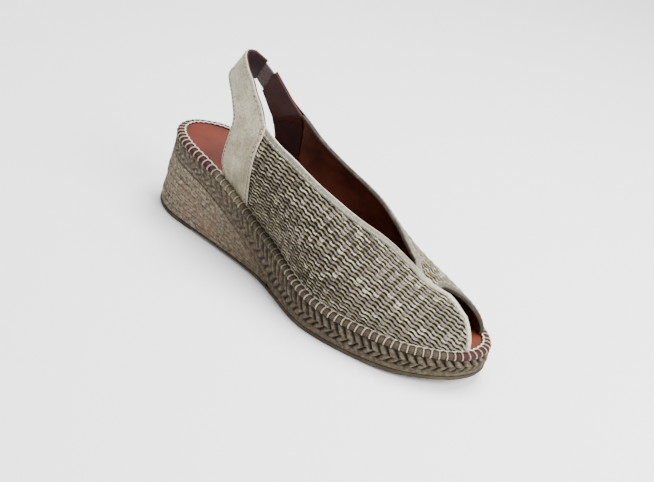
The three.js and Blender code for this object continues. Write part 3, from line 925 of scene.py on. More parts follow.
@dataclass(frozen=True)
class JuteFinish:
    """Dull jute rope: coarse fibres that slant in each ply, specks, and casts of pink and yellow in places."""

    name: str
    light: tuple = paint(168, 156, 136)
    middle: tuple = paint(106, 96, 81)
    dark: tuple = paint(46, 39, 30)
    # painted shade in the hollows between strands, laid by the relief mark
    groove: tuple = paint(40, 33, 26)
    pink: tuple = paint(128, 94, 80)
    yellow: tuple = paint(114, 106, 66)
    # painted shade that darkens the rope towards the toe
    front: tuple = paint(58, 50, 38)

    def material(self) -> Material:
        """Builds the finish from fibre noise along the strand and the relief kept in the mesh.

        Returns:
            The material.
        """
        sheet = NodeSheet(self.name)
        u, w = sheet.pattern
        x = sheet.place[0]
        where = sheet.where
        fibres = sheet.noise(sheet.vector(u * .3 - w * .3, w * .8 + u * .2), 1.0, 4.0, .7)
        fluff = sheet.noise(where, .5, 3.0, .65)
        patches = sheet.noise(where, .04, 2.0)
        tone = sheet.ramp(fibres * .55 + fluff * .45, (.36, self.dark), (.5, self.middle), (.66, self.light))
        tone = sheet.coats(
            tone,
            (patches.step(.54, .7) * .35 + x.step(-14.0, -34.0) * .45, self.pink),
            (patches.step(.42, .3) * .3, self.yellow),
            # Painted shade towards the toe.
            (x.step(-5.0, 110.0) * .6, self.front))
        # Painted shade: where the relief mark is low, the hollows take the groove colour.
        colour = sheet.mix(sheet.mark("relief").step(-.05, .95), self.groove, tone)
        sheet.bump(fibres * .7 + fluff * .6, .7, .9)
        return sheet.finish(colour, fluff * .2 + .8, .15)


@dataclass(frozen=True)
class RubberFinish:
    """Matt moulded rubber with a trace of dust."""

    name: str = "sole_rubber"
    base: tuple = paint(58, 51, 39)
    dust: tuple = paint(80, 72, 57)

    def material(self) -> Material:
        """Builds the finish from fine speckle.

        Returns:
            The material.
        """
        sheet = NodeSheet(self.name)
        where = sheet.where
        speck = sheet.noise(where, 1.6, 3.0, .6)
        cloud = sheet.noise(where, .07, 2.0)
        colour = sheet.mix(cloud.step(.42, .68) * .5, self.base, self.dust)
        sheet.bump(speck, .12, .5)
        return sheet.finish(colour, speck * .15 + .72, .15)


@dataclass(frozen=True)
class LeatherFinish:
    """Smooth leather with a fine pebble, soft clouds of tone and a dull gloss."""

    name: str
    base: tuple
    shade: tuple
    far: tuple | None = None
    grain: float = 1.5
    depth: float = .1
    roughness: float = .55
    shine: float = .2

    def material(self) -> Material:
        """Builds the finish from cell grain and clouds, and from heel to toe where a far tone is given.

        Returns:
            The material.
        """
        sheet = NodeSheet(self.name)
        x = sheet.place[0]
        where = sheet.where
        cells = sheet.wire(sheet.node("TexVoronoi", {"feature": "SMOOTH_F1"},
                                      {"Vector": where, "Scale": self.grain, "Smoothness": .6}), "Distance")
        cloud = sheet.noise(where, .05, 3.0)
        fine = sheet.noise(where, .9, 4.0, .6)
        colour = sheet.mix(cloud.step(.35, .7), self.base, self.shade)
        if self.far is not None:
            colour = sheet.mix(x.step(60.0, 200.0), colour, self.far)
        colour = sheet.mix(fine.step(.45, .8) * .18, colour, self.shade)
        sheet.bump(cells + fine * .6, self.depth, .6)
        return sheet.finish(colour, fine * .2 + (self.roughness - .1), self.shine)


@dataclass(frozen=True)
class StrapFinish:
    """Greige nubuck, mottled, dirtier towards the rim and pale along its cut edges."""

    name: str = "strap_leather"
    base: tuple = paint(142, 133, 110)
    # random paler clouds and streaks, and also the painted light towards the strap's top
    pale: tuple = paint(194, 186, 162)
    # fine mottling and the stitch band, and also the painted shade towards the rim
    low: tuple = paint(72, 64, 44)
    edge: tuple = paint(176, 169, 150)
    # dark needle holes, and the painted shadow on the strap's edge walls
    hole_and_edge_shadow: tuple = paint(40, 33, 27)

    def material(self) -> Material:
        """Builds the finish: clouds, fine mottling, needle holes by the front edge and pale edges.

        Returns:
            The material.
        """
        sheet = NodeSheet(self.name)
        u, w = sheet.pattern
        z = sheet.place[2]
        where = sheet.where
        cloud = sheet.noise(where, .09, 4.0, .6)
        fine = sheet.noise(where, .9, 4.0, .65)
        nap = sheet.noise(where, 3.0, 2.0)
        streak = sheet.noise(sheet.vector(u * .06, w * .35), 1.0, 3.0, .6)
        rim = sheet.mark("edge")
        seam = rim.step(2.9, 2.5) * rim.step(1.3, 1.7)
        holes = (u * (TAU / 2.6)).sin().step(.1, .6) * seam
        colour = sheet.coats(
            self.base,
            # Painted light towards the top and painted shade towards the rim, by height.
            (cloud.step(.35, .68) * .7 + z.step(60.0, 110.0) * .4, self.pale),
            (z.step(76.0, 30.0) * .85, self.low),
            (streak.step(.48, .62) * .3, self.pale),
            (fine.step(.4, .68) * .5, self.low),
            (rim.step(.7, .2) * .5, self.edge),
            # Painted shadow: the edge walls darken towards the ply's back.
            (rim.step(-.2, -.7), self.hole_and_edge_shadow),
            (holes * .8, self.hole_and_edge_shadow),
            (seam * .22, self.low))
        sheet.bump(fine * .7 + nap * .3 - holes * .5 - seam * .3, .3, .5)
        return sheet.finish(colour, fine * .2 + .6, .25)


@dataclass(frozen=True)
class BindingFinish:
    """Folded leather: mottled grey-greige outside, worn pale on the fold and dark inside."""

    name: str = "upper_binding"
    outside: tuple = paint(112, 109, 95)
    patch: tuple = paint(66, 62, 50)
    # painted highlight on the fold, also laid on the outer leg towards the peep; a dark tone here paints shade
    # instead
    fold_light_and_shade: tuple = paint(208, 199, 174)
    # painted shade on the inner leg
    inside: tuple = paint(70, 58, 47)

    def material(self) -> Material:
        """Builds the finish from the mark that runs from the fold's outside to its inside.

        Returns:
            The material.
        """
        sheet = NodeSheet(self.name)
        u, w = sheet.pattern
        where = sheet.where
        mottle = sheet.noise(where, .5, 4.0, .65)
        fold_streaks = sheet.noise(sheet.vector(u * .12, w * .5), 1.0, 3.0, .6)
        side = sheet.mark("side")
        fold = side.step(.1, .34) * side.step(.74, .5)
        front = sheet.place[0].step(165.0, 200.0) * side.step(.6, .4)
        colour = sheet.coats(
            self.outside,
            (mottle.step(.4, .62) * .6, self.patch),
            # The fold takes the painted fold tone, in streaks.
            (fold * fold_streaks.step(.2, .55) + front * .6, self.fold_light_and_shade),
            # Painted shade on the inner leg.
            (side.step(.52, .66), self.inside))
        sheet.bump(mottle, .2, .5)
        return sheet.finish(colour, mottle * .25 + .45, .25)


@dataclass(frozen=True)
class ThreadFinish:
    """Waxed thread laid in two plies that turn along it."""

    name: str
    light: tuple
    # painted shade between the plies, and the dark end of the fuzz
    dark: tuple
    dull: tuple | None = None

    def material(self) -> Material:
        """Builds the finish from slanted ply lines, dulled along the waist where a dull tone is given.

        Returns:
            The material.
        """
        sheet = NodeSheet(self.name)
        u, w = sheet.pattern
        ply = (u * 4.0 + w).sin() * .5 + .5
        fuzz = sheet.noise(sheet.where, 2.0, 2.0)
        # The ply lines are lighter, with painted shade between them, mixed with random fuzz.
        colour = sheet.mix(ply * .6 + fuzz * .4, self.dark, self.light)
        if self.dull is not None:
            x = sheet.place[0]
            colour = sheet.mix(x.step(52.0, 62.0) * x.step(116.0, 92.0) * .75, colour, self.dull)
        sheet.bump(ply, .15, .6)
        return sheet.finish(colour, .62)


class Yarn(Enum):
    """The two kinds of column in the woven cloth, as colours from the gap up to the yarn's crest."""

    OLIVE = ((0.0, paint(14, 12, 6)), (.3, paint(46, 41, 20)), (.55, paint(88, 81, 48)),
             (.78, paint(140, 134, 94)), (1.0, paint(232, 226, 196)))
    MAUVE = ((0.0, paint(15, 12, 10)), (.3, paint(50, 44, 38)), (.55, paint(86, 78, 70)),
             (.78, paint(134, 124, 113)), (1.0, paint(226, 217, 204)))


@dataclass(frozen=True)
class Weave:
    """Wavy rows of yarn that pass by turns under open olive floats and fuller mauve ones, in millimetres.

    phase = 2 pi a / wave + drift * sin(b / 13 + a / 37), and a row's middle sags by sway * cos(phase).
    The mauve columns lie round the phase's whole turns. A yarn is half an ellipse across its row and dips
    where the columns meet. By chance some of the mauve knots are so full that they close the gap.
    """

    pitch: float = 2.38
    wave: float = 6.4
    sway: float = .36
    drift: float = .7
    depth: float = 1.1
    thin: float = .6
    full: float = .66
    bridge: float = .34
    closed: float = 1.2
    closed_from: float = .66

    def relief(self, cloth: Array) -> Array:
        """Height of the cloth, as a share of the depth, at cloth coordinates with a last axis of 2.

        Args:
            cloth: Cloth coordinates.

        Returns:
            The heights.
        """
        a, b = cloth[..., 0], cloth[..., 1]
        phase = a * TAU / self.wave + self.drift * np.sin(b / 13.0 + a / 37.0)
        place = b / self.pitch + self.sway / self.pitch * np.cos(phase)
        row = np.floor(place)
        across = np.abs(place - row - .5) * 2
        mauve = smoothstep(np.cos(phase), -.15, .55)
        wild = hashed(row, np.floor(phase / TAU + .5))
        knot = lerp(self.full, self.closed, smoothstep(wild, self.closed_from, self.closed_from + .15))
        meet = smoothstep(np.cos(phase), -.3, .1) * smoothstep(np.cos(phase), .7, .3)
        width = lerp(self.thin, knot, mauve) + self.bridge * meet
        yarn = np.sqrt(np.clip(1 - (across / width) ** 2, 0, 1))
        return yarn * (lerp(.82, 1.0, mauve) + .25 * (wild - .5) - .18 * meet)


@dataclass(frozen=True)
class ClothFinish:
    """The woven cloth, coloured by the formula of its relief so that colour and shape agree."""

    name: str = "woven_cloth"
    weave: Weave = field(default_factory=Weave)

    def material(self) -> Material:
        """Builds the finish: yarn colours by column and height, with knots of uneven tone.

        Returns:
            The material.
        """
        sheet = NodeSheet(self.name)
        weave = self.weave
        a, b = sheet.pattern
        slow = (b * (1 / 13.0) + a * (1 / 37.0)).sin() * weave.drift
        phase = a * (TAU / weave.wave) + slow
        wave = (phase + TAU / 4).sin()
        place = b * (1 / weave.pitch) + wave * (weave.sway / weave.pitch)
        row = place.floor()
        across = (place - row - .5).absolute() * 2.0
        mauve = wave.step(-.15, .55)
        draw = sheet.chance(row, (phase * (1 / TAU) + .5).floor())
        knot = draw.step(weave.closed_from, weave.closed_from + .15) * (weave.closed - weave.full) + weave.full
        meet = wave.step(-.3, .1) * wave.step(.7, .3)
        share = across / (mauve * (knot - weave.thin) + weave.thin + meet * weave.bridge)
        yarn = (1.0 - share * share).higher(0.0).power(.5)
        strands = sheet.noise(sheet.vector(a * .9, b * 3.0), 1.0, 3.0, .65).step(.3, .72)
        crest = sheet.chance(row, (phase * (2 / TAU) + .5).floor() + 31.0)
        # Painted light: the level runs from painted shade in the gap to a painted highlight on the crest.
        level = yarn.power(1.4) * (strands * .6 + crest * .45 + .14)
        colour = sheet.mix(mauve, sheet.ramp(level, *Yarn.OLIVE.value), sheet.ramp(level, *Yarn.MAUVE.value))
        cloud = sheet.noise(sheet.vector(a, b), .05, 2.0).step(.35, .7)
        # Clouds of a plainer tone, which is also dark in the gaps as painted shade.
        colour = sheet.mix(cloud * .3, colour, sheet.mix(yarn, paint(26, 21, 15), paint(132, 123, 105)))
        x = sheet.place[0]
        # Painted light: the yarn tops grow paler towards the toe.
        colour = sheet.mix(x.step(130.0, 225.0) * yarn * .14, colour, paint(206, 196, 174))
        sheet.bump(yarn + strands * .35, .4, .8)
        return sheet.finish(colour, .7 - yarn * .15, .25)


@dataclass(frozen=True)
class RimFinish:
    """The whipped edge: turned cloth, strap leather or lining leather, by what is turned over it."""

    name: str = "whipped_rim"
    cloth: tuple = paint(38, 32, 23)
    cloth_light: tuple = paint(82, 73, 55)
    strap: tuple = paint(108, 100, 80)
    lining: tuple = paint(48, 15, 12)
    brown: tuple = paint(54, 41, 31)
    # painted shade between the puffs, laid by the relief mark
    dark: tuple = paint(18, 12, 9)

    def material(self) -> Material:
        """Builds the finish from the marks that say how much of each stuff is there.

        Returns:
            The material.
        """
        sheet = NodeSheet(self.name)
        u, w = sheet.pattern
        rows = (w * 3.2 + u * .5).sin() * .5 + .5
        mottle = sheet.noise(sheet.vector(u, w), .8, 3.0, .6).step(.3, .7)
        cloth = sheet.mix(rows * .4 + mottle * .6, self.cloth, self.cloth_light)
        leather = sheet.mix(mottle * .4, self.strap, self.cloth)
        colour = sheet.coats(
            cloth,
            (sheet.place[0].step(90.0, 140.0) * .5, self.brown),
            (sheet.mark("strap"), leather),
            (sheet.mark("lining"), self.lining))
        # Painted shade: darker between the puffs, where the relief mark is low.
        colour = sheet.mix(sheet.mark("relief").step(.1, .9), self.dark, colour)
        sheet.bump(rows * .5 + mottle, .25, .5)
        return sheet.finish(colour, .62, .2)


@dataclass(frozen=True)
class ElasticFinish:
    """Ribbed elastic web, its ribs along the stretch."""

    name: str = "elastic_web"
    base: tuple = paint(92, 76, 74)
    # painted shade between the ribs and threads
    dark: tuple = paint(40, 31, 30)
    ribs: float = 1.1

    def material(self) -> Material:
        """Builds the finish from ribs across the web and short threads along it.

        Returns:
            The material.
        """
        sheet = NodeSheet(self.name)
        u, w = sheet.pattern
        rib = (w * (TAU / self.ribs)).sin() * .5 + .5
        threads = (u * (TAU / .55)).sin() * .5 + .5
        # Painted shade in the valleys between ribs and between threads.
        colour = sheet.mix(rib * .7 + threads * .3, self.dark, self.base)
        sheet.bump(rib + threads * .3, .3, .8)
        return sheet.finish(colour, .85)


# Sub-assemblies of the sole


def strip_floor(ring: Array, first: int, start: int, columns: int) -> tuple[Array, list[Array]]:
    """Fills a closed ring with strips of corners from its one side to the other.

    Row r joins the ring's corner r to its corner count - r by straight lines with even steps.

    Args:
        ring: Corners of the ring, an even number of them.
        first: Number of the ring's first corner.
        start: Number that the first new corner gets.
        columns: Spans in a row.

    Returns:
        The new corners and the blocks of faces.
    """
    count = len(ring)
    r = np.arange(1, count // 2)
    share = (np.arange(1, columns) / columns)[None, :, None]
    fresh = lerp(ring[r][:, None], ring[count - r][:, None], share)
    numbers = start + np.arange(fresh.shape[0] * fresh.shape[1]).reshape(fresh.shape[:2])
    rows = np.concatenate([first + r[:, None], numbers, first + (count - r)[:, None]], axis=1)
    quads = np.stack([rows[:-1, :-1], rows[1:, :-1], rows[1:, 1:], rows[:-1, 1:]], axis=-1).reshape(-1, 4)
    heel = np.stack([np.full(columns, first), rows[0, :-1], rows[0, 1:]], axis=1)
    toe = np.stack([np.full(columns, first + count // 2), rows[-1, 1:], rows[-1, :-1]], axis=1)
    return fresh.reshape(-1, 3), [quads, np.concatenate([heel, toe])]


def open_cap(first: int, count: int) -> Array:
    """Quads that close a ring cut straight across, between its corners i and count - 1 - i."""
    i = np.arange(count // 2 - 1)
    return np.stack([i, i + 1, count - 2 - i, count - 1 - i], axis=1) + first


@dataclass
class Outsole:
    """Thin rubber under the whole shoe, with transverse ribs inside a plain border."""

    bed: Footbed
    stations: int = 640
    across: int = 60
    edge_round: float = .8
    rib_step: float = 5.5
    rib_depth: float = .5
    border: float = 6.0

    def tread(self, points: Array) -> Array:
        """Depth of the grooves: a clipped cosine of a line that waves across the sole, inside the border.

        Args:
            points: Points of the underside.

        Returns:
            The depths.
        """
        x, y = points[:, 0], points[:, 1]
        inside = smoothstep(self.bed.half(self.bed.share_of(x), y) - np.abs(y), self.border, self.border + 1)
        ends = smoothstep(x, -self.bed.heel_seat + 4, -self.bed.heel_seat + 7)
        ends *= 1 - smoothstep(x, self.bed.station(.93), self.bed.station(.94))
        line = (x + 2.2 * np.sin(y / 4.5)) / self.rib_step
        return self.rib_depth * inside * ends * smoothstep(np.cos(TAU * line), .35, .75)

    def build(self) -> None:
        """Builds the rubber: five rings for its side, a strip floor below and a cap above."""
        ring = self.bed.ring(self.stations)
        x = ring.plan[:, 0]
        low, high = self.bed.ground_z(x), self.bed.tread_top_z(x)
        side = [self.bed.placed(ring, inset, z) for inset, z in (
            (self.edge_round, low), (self.edge_round * .25, lerp(low, high, .12)), (0, lerp(low, high, .35)),
            (0, lerp(low, high, .85)), (.3, high))]
        count = self.stations
        walls = grid_faces(len(side), count, wrap_columns=True)
        floor, floor_faces = strip_floor(side[0], 0, len(side) * count, self.across)
        floor[:, 2] = self.bed.ground_z(floor[:, 0]) + self.tread(floor)
        lid = ring_cap((len(side) - 1) * count, count)
        faces = [walls, *[block[:, ::-1] for block in floor_faces], *lid]
        shell = Shell().add(np.concatenate([*side, floor]), faces)
        shell.build("outsole_rubber", RubberFinish().material(), "outsole_rubber", "outsole")


@dataclass
class RopeWedge:
    """Rope plies wound between the rubber and the platform, thinning to a blunt tip under the waist."""

    bed: Footbed
    plies: int = 8
    stations: int = 800
    levels_in_ply: int = 7
    groove: float = .5
    twist_step: float = 4.2
    twist_depth: float = .4
    tip_thickness: float = 1.4

    def build(self, jute: Material) -> None:
        """Builds the plies: a wall whose inset is the groove less a dome in each ply, with a slanted twist.

        Args:
            jute: Finish of the plies.
        """
        bed = self.bed
        shares = np.linspace(.2, .6, 400)
        x = bed.station(shares)
        thick = bed.platform_bottom_z(x) - bed.tread_top_z(x) - 2 * bed.gap
        ring = bed.ring(self.stations, float(shares[np.argmax(thick < self.tip_thickness)]))
        x = ring.plan[:, 0]
        low, high = bed.tread_top_z(x) + bed.gap, bed.platform_bottom_z(x) - bed.gap
        share = np.linspace(0, 1, self.plies * self.levels_in_ply + 1)[:, None]
        ply = np.minimum(np.floor(share * self.plies), self.plies - 1)
        within = share * self.plies - ply
        room = np.clip((high - low) / self.plies / 4.0, .15, 1.0)
        turn = ring.run / self.twist_step - within * .8 + ply * .37 + np.sin(ring.run / 17 + ply)
        wild = hashed(np.floor(turn), ply)
        strand = dome(fract(turn)) ** .7 * lerp(.6, 1.0, wild)
        wander = .3 * np.sin(ring.run / 23 + ply * 1.7)
        out = (dome(within) ** .8 * (self.groove + wander) + (strand - 1) * self.twist_depth * dome(within)) * room
        z = lerp(low, high, share)
        wall = bed.placed(ring, self.groove - out, z)
        count, levels = self.stations, share.shape[0]
        uv = pairs(ring.run, share * 37.0)
        faces = [grid_faces(levels, count, wrap_columns=True), open_cap(0, count)[:, ::-1],
                 open_cap((levels - 1) * count, count)]
        # The relief mark also drives the jute finish's painted shade in the grooves.
        relief = np.clip(dome(within) ** .5 * (.55 + .5 * strand) + .3, 0, 1) + np.zeros_like(z)
        shell = Shell().add(wall.reshape(-1, 3), faces, uv, relief=relief.ravel())
        shell.build("wedge_rope", jute, "jute", "wedge")


@dataclass
class BraidPlatform:
    """The platform: a smooth rope below and a flat braid above it, right round the shoe."""

    bed: Footbed
    stations: int = 1560
    levels: int = 38
    plaits: int = 104
    rope_share: float = .27
    bend_share: float = .43
    upper_slant: float = .6
    lower_slant: float = .75
    depth: float = 2.5
    proud: float = .7
    insole: float = 2.0

    def relief(self, way: Array, share: Array) -> Array:
        """Height of rope and braid over their deepest groove, as a share of the depth.

        The rope is a dome with a slight twist. The braid has two rows of strands that meet at a bend
        line and point forwards on the outer side: the upper ones lean back as they rise and grow thin
        under the rim, the lower ones lean forward as they rise. Each strand is a half ellipse across.

        Args:
            way: Way round the shoe in plaits, one for each stitch of the rim.
            share: Way up the platform.

        Returns:
            The height.
        """
        low = np.clip(share / self.rope_share, 0, 1)
        twist = dome(fract(way * .8 - low * .6)) ** .5
        rope = .3 + dome(low * .88 + .12) * (.34 + .1 * twist)
        up = np.clip((share - self.rope_share) / (1 - self.rope_share), 0, 1)
        high = np.clip((up - self.bend_share) / (1 - self.bend_share), 0, 1)
        deep = np.clip(up / self.bend_share, 0, 1)
        above = up > self.bend_share
        turn = np.where(above, way + self.upper_slant * high, way - self.lower_slant * deep + .35)
        wild = hashed(np.floor(turn), above.astype(float))
        across = np.abs(fract(turn) - .5) * 2
        width = np.where(above, lerp(.95, .6, high), lerp(.72, .95, deep)) * lerp(.88, 1.06, wild)
        strand = np.sqrt(np.clip(1 - (across / width) ** 2, 0, 1))
        ends = np.where(above, np.sin(np.pi * np.clip(.18 + .72 * high, 0, 1)) ** .4,
                        np.sin(np.pi * np.clip(.12 + .72 * deep, 0, 1)) ** .5)
        braid = .05 + strand ** .9 * ends * lerp(.8, 1.0, wild)
        return np.where(share < self.rope_share, rope, braid)

    def build(self, jute: Material) -> None:
        """Builds the wall with its relief, the rebate for the rim and the bed for the insole.

        Args:
            jute: Finish of the braid.
        """
        bed = self.bed
        ring = bed.ring(self.stations)
        x = ring.plan[:, 0]
        low, high = bed.platform_bottom_z(x), bed.rim_z(x) - bed.rim_drop - bed.gap
        share = np.linspace(0, 1, self.levels)[:, None]
        relief = self.relief(ring.run / ring.length * self.plaits, share)
        relief = lerp(.5, relief, lerp(.3, 1.0, smoothstep(x, 40, 130)))
        wall = bed.placed(ring, self.depth - self.proud - self.depth * relief, lerp(low, high, share))
        inset = bed.rim_width + bed.gap
        bed_z = bed.rim_z(x) - self.insole - bed.gap
        hidden = [bed.placed(ring, inset, height) for height in (high, bed_z)]
        loops = np.concatenate([wall.reshape(-1, 3), *hidden])
        rows, count = self.levels + 2, self.stations
        uv = np.zeros((rows, count, 2))
        uv[..., 0] = ring.run
        uv[:self.levels, :, 1] = share * 11.0 + 20
        # The relief mark also drives the jute finish's painted shade between the strands.
        mark = np.concatenate([relief * .85, np.zeros((2, count))])
        faces = [grid_faces(rows, count, wrap_columns=True), *[block[:, ::-1] for block in ring_cap(0, count)],
                 *ring_cap((rows - 1) * count, count)]
        shell = Shell().add(loops, faces, uv.reshape(-1, 2), relief=mark.ravel())
        shell.build("platform_braid", jute, "jute", "midsole")


@dataclass
class StitchedRim:
    """The turned edge round the top of the platform, whipped with pale thread."""

    bed: Footbed
    stitches: int = 124
    steps_in_stitch: int = 10
    proud: float = .7
    puff: float = .8
    thread: float = .5
    line_thread: float = .42
    strap_from: float = 57.0
    strap_to: float = 80.0
    peep_from: float = 233.0
    near_peep: float = 9.0

    @property
    def section(self) -> Array:
        """Section of the rim: inset as a share of its width, and height as a share of its own.

        Returns:
            Pairs of inset and height.
        """
        return np.array([(1, .9), (1, .5), (1, 0), (.6, 0), (.3, 0), (.14, .04), (.05, .13),
                         (0, .27), (0, .42), (.03, .57), (.09, .72), (.17, .84), (.28, .93),
                         (.42, .99), (.57, 1), (.72, .99), (.87, .95)])

    def surface(self, ring: Ring, inset: Array, up: Array, out: Array) -> Array:
        """Points of the rim: inset and height by the shares, moved outwards and upwards by the puff.

        Args:
            ring: Points round the outline.
            inset: Shares of the rim's width.
            up: Shares of its height.
            out: The puff.

        Returns:
            The points.
        """
        x = ring.plan[:, 0]
        z = self.bed.rim_z(x) + lerp(-self.bed.rim_drop, self.proud, up) + out * np.clip(up, 0, 1) * .7
        return self.bed.placed(ring, inset * self.bed.rim_width - out * (1 - np.clip(inset, 0, 1)), z)

    def stuffs(self, ring: Ring) -> tuple[Array, Array]:
        """How much strap leather and lining leather is turned over the rim at each point of a ring.

        Lining leather goes round the heel, behind the straps, and round the open toe. Strap leather is at
        the foot of each strap, and cloth is everywhere else.

        Args:
            ring: Points round the outline.

        Returns:
            The two shares.
        """
        back = ring.plan[:, 0] + self.bed.heel_seat
        strap = smoothstep(back, self.strap_from - 4, self.strap_from + 2)
        strap *= 1 - smoothstep(back, self.strap_to - 2, self.strap_to + 3)
        heel = 1 - smoothstep(back, self.strap_from - 7, self.strap_from - 1)
        inner = ring.plan[:, 1] > 4
        peep_start = np.where(inner, self.peep_from - 3, self.peep_from + self.near_peep)
        toe = smoothstep(back, peep_start, peep_start + 4)
        return strap, np.maximum(heel, toe)

    def build(self) -> None:
        """Builds the puffed rim, the stitches over it and the thread line along its inner edge."""
        count = self.stitches * self.steps_in_stitch
        ring = self.bed.ring(count)
        step = ring.length / self.stitches
        share = fract(ring.run / step)
        puff = np.sin(np.pi * share) ** .6 * lerp(.85, 1.1, hashed(np.floor(ring.run / step), 3.0))
        table = self.section
        out = self.puff * (puff - .62) * (table[:, :1] < .95)
        points = self.surface(ring, table[:, :1], table[:, 1:], out)
        strap, lining = self.stuffs(ring)
        rows = len(table)
        across = arc_lengths(table * (4.5, 6.3))
        # The relief mark, high in the middle of each puff, drives the rim finish's painted shade between the
        # puffs.
        marks = {"strap": strap, "lining": lining, "relief": np.sin(np.pi * share)}
        marks = {name: np.tile(values, rows) for name, values in marks.items()}
        faces = [grid_faces(rows, count, wrap_rows=True, wrap_columns=True)]
        shell = Shell().add(points.reshape(-1, 3), faces, pairs(ring.run, across[:, None]), **marks)
        shell.build("rim_edge", RimFinish().material(), "rim_leather", "rim_band")
        self.whip(ThreadFinish("whipping_thread", paint(166, 156, 134), paint(88, 79, 61), paint(66, 58, 38)))
        self.line(ThreadFinish("line_thread", paint(222, 214, 198), paint(148, 138, 120), paint(92, 86, 64)))

    def whip(self, thread: ThreadFinish) -> None:
        """Lays a stitch over the rim at each step, from the thread line down to the platform.

        Args:
            thread: Finish of the stitches.
        """
        ring = self.bed.ring(self.stitches)
        path = np.array([(.98, .98), (.8, 1.05), (.55, 1.06), (.3, 1.0), (.12, .86), (.0, .66), (-.04, .45),
                         (-.03, .27), (.03, .14), (.14, .02)])
        wild = hashed(np.arange(self.stitches), 1.0) - .5
        points = np.stack([self.surface(ring, inset, up, -.12 + .15 * wild) for inset, up in path], axis=1)
        lean = np.stack([-ring.inward[:, 1], ring.inward[:, 0], np.zeros(self.stitches)], axis=1)
        points = points + lean[:, None] * (wild[:, None] * np.linspace(-.6, .6, len(path))[None])[..., None]
        inward = np.concatenate([ring.inward, np.zeros((self.stitches, 1))], axis=1)
        away = -inward[:, None, :] * smoothstep(path[:, 1], 1.2, .9)[None, :, None] + np.array([0, 0, .4])
        corners, faces = tubes(points, away + np.zeros_like(points), self.thread, 6)
        steps = len(path)
        uv = np.concatenate([pairs(np.arange(steps)[:, None] * 1.2, np.arange(6) * TAU / 6), [(0, 0), (steps, 0)]])
        shell = Shell().add(corners, faces, np.tile(uv, (self.stitches, 1)))
        shell.build("rim_stitches", thread.material(), "rim_leather")

    def line(self, thread: ThreadFinish) -> None:
        """Runs the thread line along the rim's inner edge, drawn a little outwards at each stitch.

        Args:
            thread: Finish of the line.
        """
        count = self.stitches * 8
        ring = self.bed.ring(count)
        share = fract(ring.run / ring.length * self.stitches)
        pull = .35 * np.cos(TAU * share)
        x = ring.plan[:, 0]
        path = self.bed.placed(ring, self.bed.rim_width * 1.04 - pull, self.bed.rim_z(x) + self.proud + .2)
        sides = 7
        along = unit(np.roll(path, -1, 0) - np.roll(path, 1, 0))
        side = unit(np.cross(along, np.array([0, 0, 1.0])))
        lift = np.cross(side, along)
        turn = np.arange(sides) * TAU / sides
        rings = path[:, None] + self.line_thread * (np.cos(turn)[:, None] * lift[:, None]
                                                    + 1.15 * np.sin(turn)[:, None] * side[:, None])
        shell = Shell().add(rings.reshape(-1, 3), [grid_faces(count, sides, wrap_rows=True, wrap_columns=True)],
                            pairs(ring.run[:, None], turn))
        shell.build("rim_thread_line", thread.material(), "rim_leather")


@dataclass
class Insole:
    """The leather footbed inside the rim, with a slight dish under the heel and the ball."""

    bed: Footbed
    stations: int = 480
    across: int = 48
    thickness: float = 2.0
    edge: float = .5
    dish: float = .5

    def build(self) -> None:
        """Builds the board: three rings for its edge, a cap below and a dished strip floor above."""
        ring = self.bed.ring(self.stations)
        x = ring.plan[:, 0]
        inset = self.bed.rim_width + self.bed.gap
        top = self.bed.rim_z(x)
        side = [self.bed.placed(ring, *at) for at in (
            (inset, top - self.thickness), (inset, top - self.edge), (inset + self.edge, top))]
        count = self.stations
        floor, faces = strip_floor(side[2], 2 * count, 3 * count, self.across)
        share = self.bed.share_of(floor[:, 0])
        half = self.bed.half(share, floor[:, 1]) - inset
        middle = np.clip(1 - (floor[:, 1] / half) ** 2, 0, 1)
        floor[:, 2] = self.bed.rim_z(floor[:, 0]) - self.dish * middle * (
            smoothstep(share, .02, .1) * (1 - smoothstep(share, .2, .34)) + .6 * smoothstep(share, .5, .65)
            * (1 - smoothstep(share, .8, .94)))
        walls = [grid_faces(3, count, wrap_columns=True), *[block[:, ::-1] for block in ring_cap(0, count)]]
        shell = Shell().add(np.concatenate([*side, floor]), [*walls, *faces])
        leather = LeatherFinish("insole_leather", paint(88, 37, 25), paint(70, 28, 20), paint(90, 41, 24))
        shell.build("insole_leather", leather.material(), "insole_leather", "insole")


# The upper


def grid_normals(grid: Array) -> Array:
    """Normals of a grid of points: the cross product of its steps by row and by column."""
    return unit(np.cross(np.gradient(grid, axis=0), np.gradient(grid, axis=1)))


def thick_patch(outer: Array, inner: Array) -> tuple[Array, list[Array]]:
    """Corners and faces of the body between two grids of points of the same size.

    Args:
        outer: The outer grid.
        inner: The inner grid.

    Returns:
        Corners and blocks of faces.
    """
    rows, columns = outer.shape[:2]
    front = grid_faces(rows, columns)
    back = front[:, ::-1] + rows * columns
    index = np.arange(rows * columns).reshape(rows, columns)
    border = np.concatenate([index[0, :-1], index[:-1, -1], index[-1, :0:-1], index[:0:-1, 0]])
    after = np.roll(border, -1)
    other = rows * columns
    walls = np.stack([border, after, after + other, border + other], axis=1)
    return np.concatenate([outer.reshape(-1, 3), inner.reshape(-1, 3)]), [front, back, walls]


